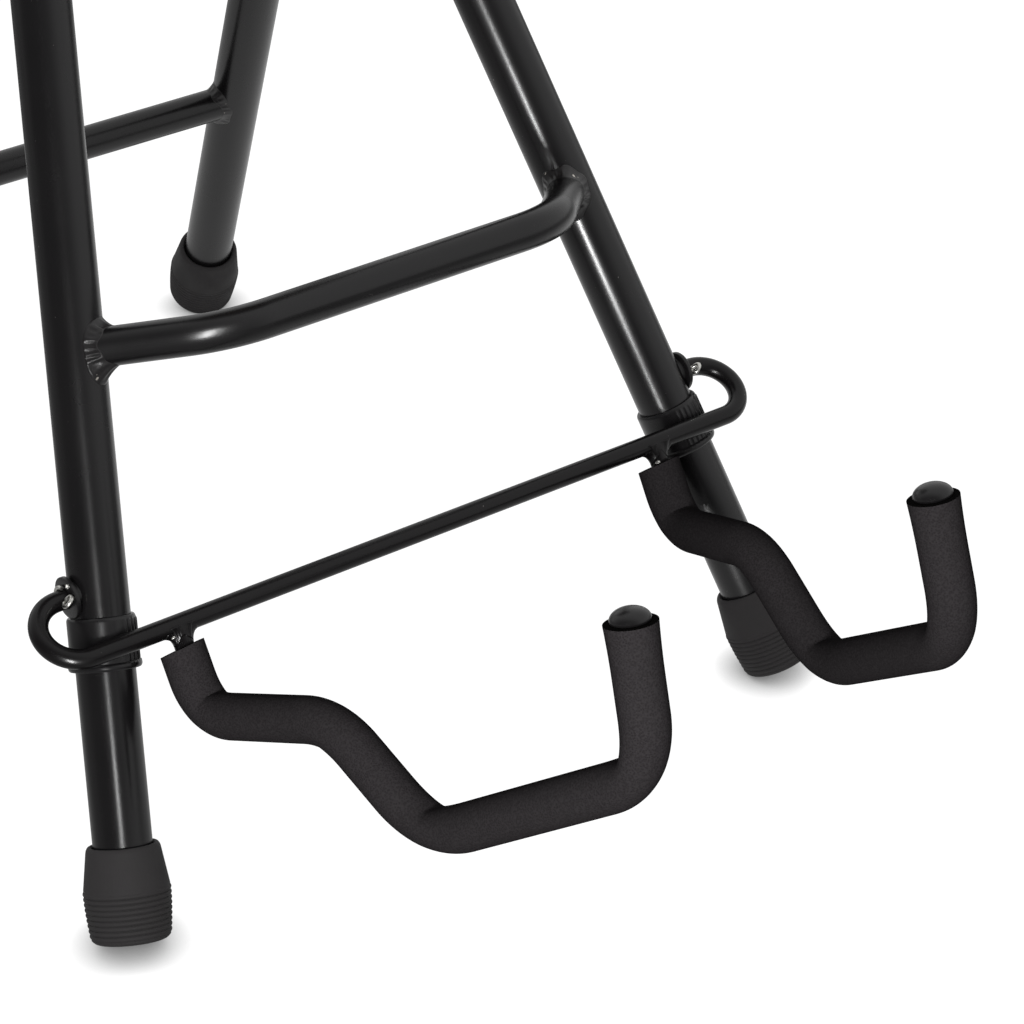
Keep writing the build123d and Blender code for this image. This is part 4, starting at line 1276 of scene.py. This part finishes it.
for i, turn in enumerate(turns):
    inside = 122.5 + 1.6 * edge[i]
    section = [(155.0, 586.0), (157.3, 583.6), (156.9, 581.0), (155.9, 579.2)]
    section += [(154.2, 577.9 - hem_drop(0, i)), (151.0, 577.35 - hem_drop(0.05, i))]
    for share in (0.2, 0.4, 0.6, 0.8, 1.0):
        section.append((HEM_R + (inside - HEM_R) * share, HEM_Z - hem_drop(share, i)))
    section += [(inside - 0.2, 578.0 - 0.8 * hem_drop(1, i)), (inside + 2, 578.2)]
    section += [(HEM_R, 578.2), (150.4, 581.0)]
    verts += [on_seat(reach, turn, z) for reach, z in section]
hem = solid("seat_turnover", verts, ring_faces(count, len(section)), VINYL, 60)
settle(hem, "seat", "black_vinyl")

line = [on_seat(STAPLE_R, t, 576.7 - hem_drop(0.68, i) * 0.8) for i, t in enumerate(turns)]
half = [(0, 0, 4.9), (0, 0.25, 5.2), (0, 1.3, 5.4)]
wire = tube("wire", [(x, y, -z) for x, y, z in half[::-1]] + half, 0.5, ZINC, sides=6)
staples = copied("seat_staples", path(line, True), ROW, wire, ZINC, 30, Count=41)
settle(staples, "seat", "zinc")

for word in SIDES:
    block = eased(f"{word}_seat_block", f"{word}_hinge_block", NYLON, 0.8)
    settle(block, "seat", "black_plastic", f"{word}_seat_block")
buffers = eased("seat_buffers", "ring_saddles", RUBBER, 1.0)
settle(buffers, "seat", "black_rubber", "seat_buffers")

head = [(0, 0), (4.6, 0), (4.6, 0.9), (4.2, 1.9), (3.2, 2.6), (1.6, 2.95), (0, 3.0)]
screw = turned("screw", head, np.zeros(3), (0, 0, -1), ZINC, 32, 40)
box = [[0, 1, 3, 2], [4, 6, 7, 5], [0, 4, 5, 1], [2, 3, 7, 6], [0, 2, 6, 4], [1, 5, 7, 3]]
for x, y in ((0.55, 2.5), (2.5, 0.55)):
    corners = [(sx * x, sy * y, z) for z in (-1.4, -4.0) for sx in (-1, 1) for sy in (-1, 1)]
    blade = solid("blade", corners, box, ZINC)
    modify(screw, "BOOLEAN", object=blade, solver="EXACT")
    screw = baked(screw, "screw")
    bpy.data.objects.remove(blade)
finish_mesh(screw.data, 35)
screw_y, screw_z = RING_Y + RING_HALF_Y, SEAT_Z - 4.0
corners = ((x, y) for x in (-SCREW_X, SCREW_X) for y in (-SCREW_Y, SCREW_Y))
places = [(x, screw_y + y, screw_z) for x, y in corners]
spots = solid("spots", places, [], ZINC)
screws = copied("seat_block_screws", spots, SPOT, screw, ZINC, 35, Seed=4)
settle(screws, "seat", "zinc", "seat_screws")

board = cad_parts["seat_board"]
board.data.materials.clear()
board.data.materials.append(PLYWOOD)

# Floor, light and camera

bpy.ops.mesh.primitive_plane_add(size=12)
floor = bpy.context.active_object
floor.name = "studio_floor"
paper = bpy.data.materials.new("white_paper")
paper.use_nodes = True
tree = paper.node_tree
tree.nodes.clear()


def looked_at(tree, gloss):
    """How much of the white background a ray shows: all to the camera, a share in gloss."""
    ray = node(tree, "ShaderNodeLightPath").outputs
    direct = node(
        tree,
        "ShaderNodeMath",
        {0: ray["Is Camera Ray"], 1: ray["Is Transmission Ray"]},
        operation="MAXIMUM",
    )
    shine = node(tree, "ShaderNodeMath", {0: ray["Is Glossy Ray"], 1: gloss}, operation="MULTIPLY")
    return node(
        tree, "ShaderNodeMath", {0: direct.outputs[0], 1: shine.outputs[0]}, operation="MAXIMUM"
    ).outputs[0]


# The paper glows white; a painted shadow, from ambient occlusion, darkens it where the object stands
# close
contact_shadow = node(tree, "ShaderNodeAmbientOcclusion", {"Distance": 0.015}, samples=16)
depth = node(tree, "ShaderNodeMath", {0: contact_shadow.outputs["AO"], 1: 1.05}, operation="POWER")
# In the gloss of the tubes the paper is bright to the right and behind, and fades to the front left
spread = node(
    tree,
    "ShaderNodeVectorMath",
    {0: node(tree, "ShaderNodeTexCoord").outputs["Object"], 1: (0.45, 0.2, 0)},
    operation="DISTANCE",
)
fade = node(tree, "ShaderNodeMapRange", {0: spread.outputs["Value"], 1: 0.3, 2: 0.85, 3: 0.8, 4: 0.2})
strength = node(
    tree,
    "ShaderNodeMath",
    {0: depth.outputs[0], 1: looked_at(tree, fade.outputs[0])},
    operation="MULTIPLY",
)
glow = node(tree, "ShaderNodeEmission", {"Color": (1, 1, 1, 1), "Strength": strength.outputs[0]})
lit = node(tree, "ShaderNodeBsdfDiffuse", {"Color": srgb("#6c6c6c")})
shown = node(tree, "ShaderNodeAddShader", {0: lit.outputs[0], 1: glow.outputs[0]})
node(tree, "ShaderNodeOutputMaterial", {"Surface": shown.outputs[0]})
floor.data.materials.append(paper)

scene = bpy.context.scene
scene.view_settings.view_transform = "Standard"
world = bpy.data.worlds.new("studio")
scene.world = world
world.use_nodes = True
tree = world.node_tree
tree.nodes.clear()
# White to the camera; the gloss of the tubes shows a studio that darkens to the front left
sky = node(
    tree,
    "ShaderNodeVectorMath",
    {0: node(tree, "ShaderNodeTexCoord").outputs["Generated"], 1: (0.9, 0.44, 0)},
    operation="DOT_PRODUCT",
)
flank = node(
    tree,
    "ShaderNodeMapRange",
    {0: sky.outputs["Value"], 1: -0.9, 2: 0.2, 3: 0.1, 4: 0.85},
    interpolation_type="SMOOTHSTEP",
)
strength = node(
    tree, "ShaderNodeMath", {0: looked_at(tree, flank.outputs[0]), 1: 0.15}, operation="MAXIMUM"
)
white = node(tree, "ShaderNodeBackground", {"Color": (1, 1, 1, 1), "Strength": strength.outputs[0]})
node(tree, "ShaderNodeOutputWorld", {"Surface": white.outputs[0]})


def lamp(name, place, aim, width, height, power, pieces=(), streak=True):
    """Soft box: an area light at a place, in metres, turned to an aim.

    A box lights every surface, or, given pieces, only draws its streak in their gloss.
    Without a streak it lights the matte surface of those pieces instead.
    """
    light = bpy.data.lights.new(name, "AREA")
    light.shape = "RECTANGLE"
    light.size, light.size_y = width, height
    light.energy = power
    box = link(name, light)
    box.location = place
    box.rotation_euler = (Vector(aim) - Vector(place)).to_track_quat("-Z", "Y").to_euler()
    gloss = bool(pieces) and streak
    box.visible_glossy, box.visible_diffuse = gloss, not gloss
    if pieces:
        box.light_linking.receiver_collection = bpy.data.collections.new(name)
    for piece in pieces:
        box.light_linking.receiver_collection.objects.link(bpy.data.objects[piece])


lamp("key_box", (-1.25, -1.35, 0.75), (0, -0.1, 0.25), 0.8, 0.8, 29)
lamp("top_box", (-0.3, -0.4, 2.6), (0, 0, 0.3), 1.6, 1.6, 6)
lamp("right_box", (1.9, -1.6, 1.6), (0, 0, 0.3), 1.0, 1.4, 5)
lamp("back_box", (0.9, 2.1, 0.6), (0, 0.2, 0.3), 1.2, 1.0, 14)
# Narrow boxes, linked to pieces so that each draws one streak, and one for the foam's ridge
right_side = ("front_right_tube", "yoke_wire", "split_pins", "arm_root_welds")
left_side = ("front_left_tube", "left_collar_moulding", "front_left_boot", "split_pins")
left_side += ("front_frame_welds",)
lamp("near_strip", (-0.50, -0.70, 0.17), (0.15, -0.08, 0.17), 0.09, 0.26, 8, right_side)
lamp("foot_strip", (-0.895, -1.388, 0.49), (-0.18, -0.12, 0.1), 0.16, 0.22, 5.3, left_side)
arms = ("left_foam_tube", "right_foam_tube")
lamp("foam_box", (-0.895, -1.388, 0.6), (0, -0.3, 0.2), 0.2, 0.2, 24, arms, streak=False)
lamp("rung_strip", (-0.907, -0.886, 0.66), (-0.103, -0.087, 0.269), 0.16, 0.7, 26, ("footrest_tube",))

# The camera fitted to the photograph
lens = bpy.data.cameras.new("camera")
lens.sensor_width = 36.0
lens.lens = 127.6
lens.clip_end = 50
camera = link("camera", lens)
camera.location = (-0.8520, -1.3282, 1.0497)
aim = Vector((-0.0662, -0.2684, 0.2500))
camera.rotation_euler = (aim - camera.location).to_track_quat("-Z", "Y").to_euler()
scene.camera = camera
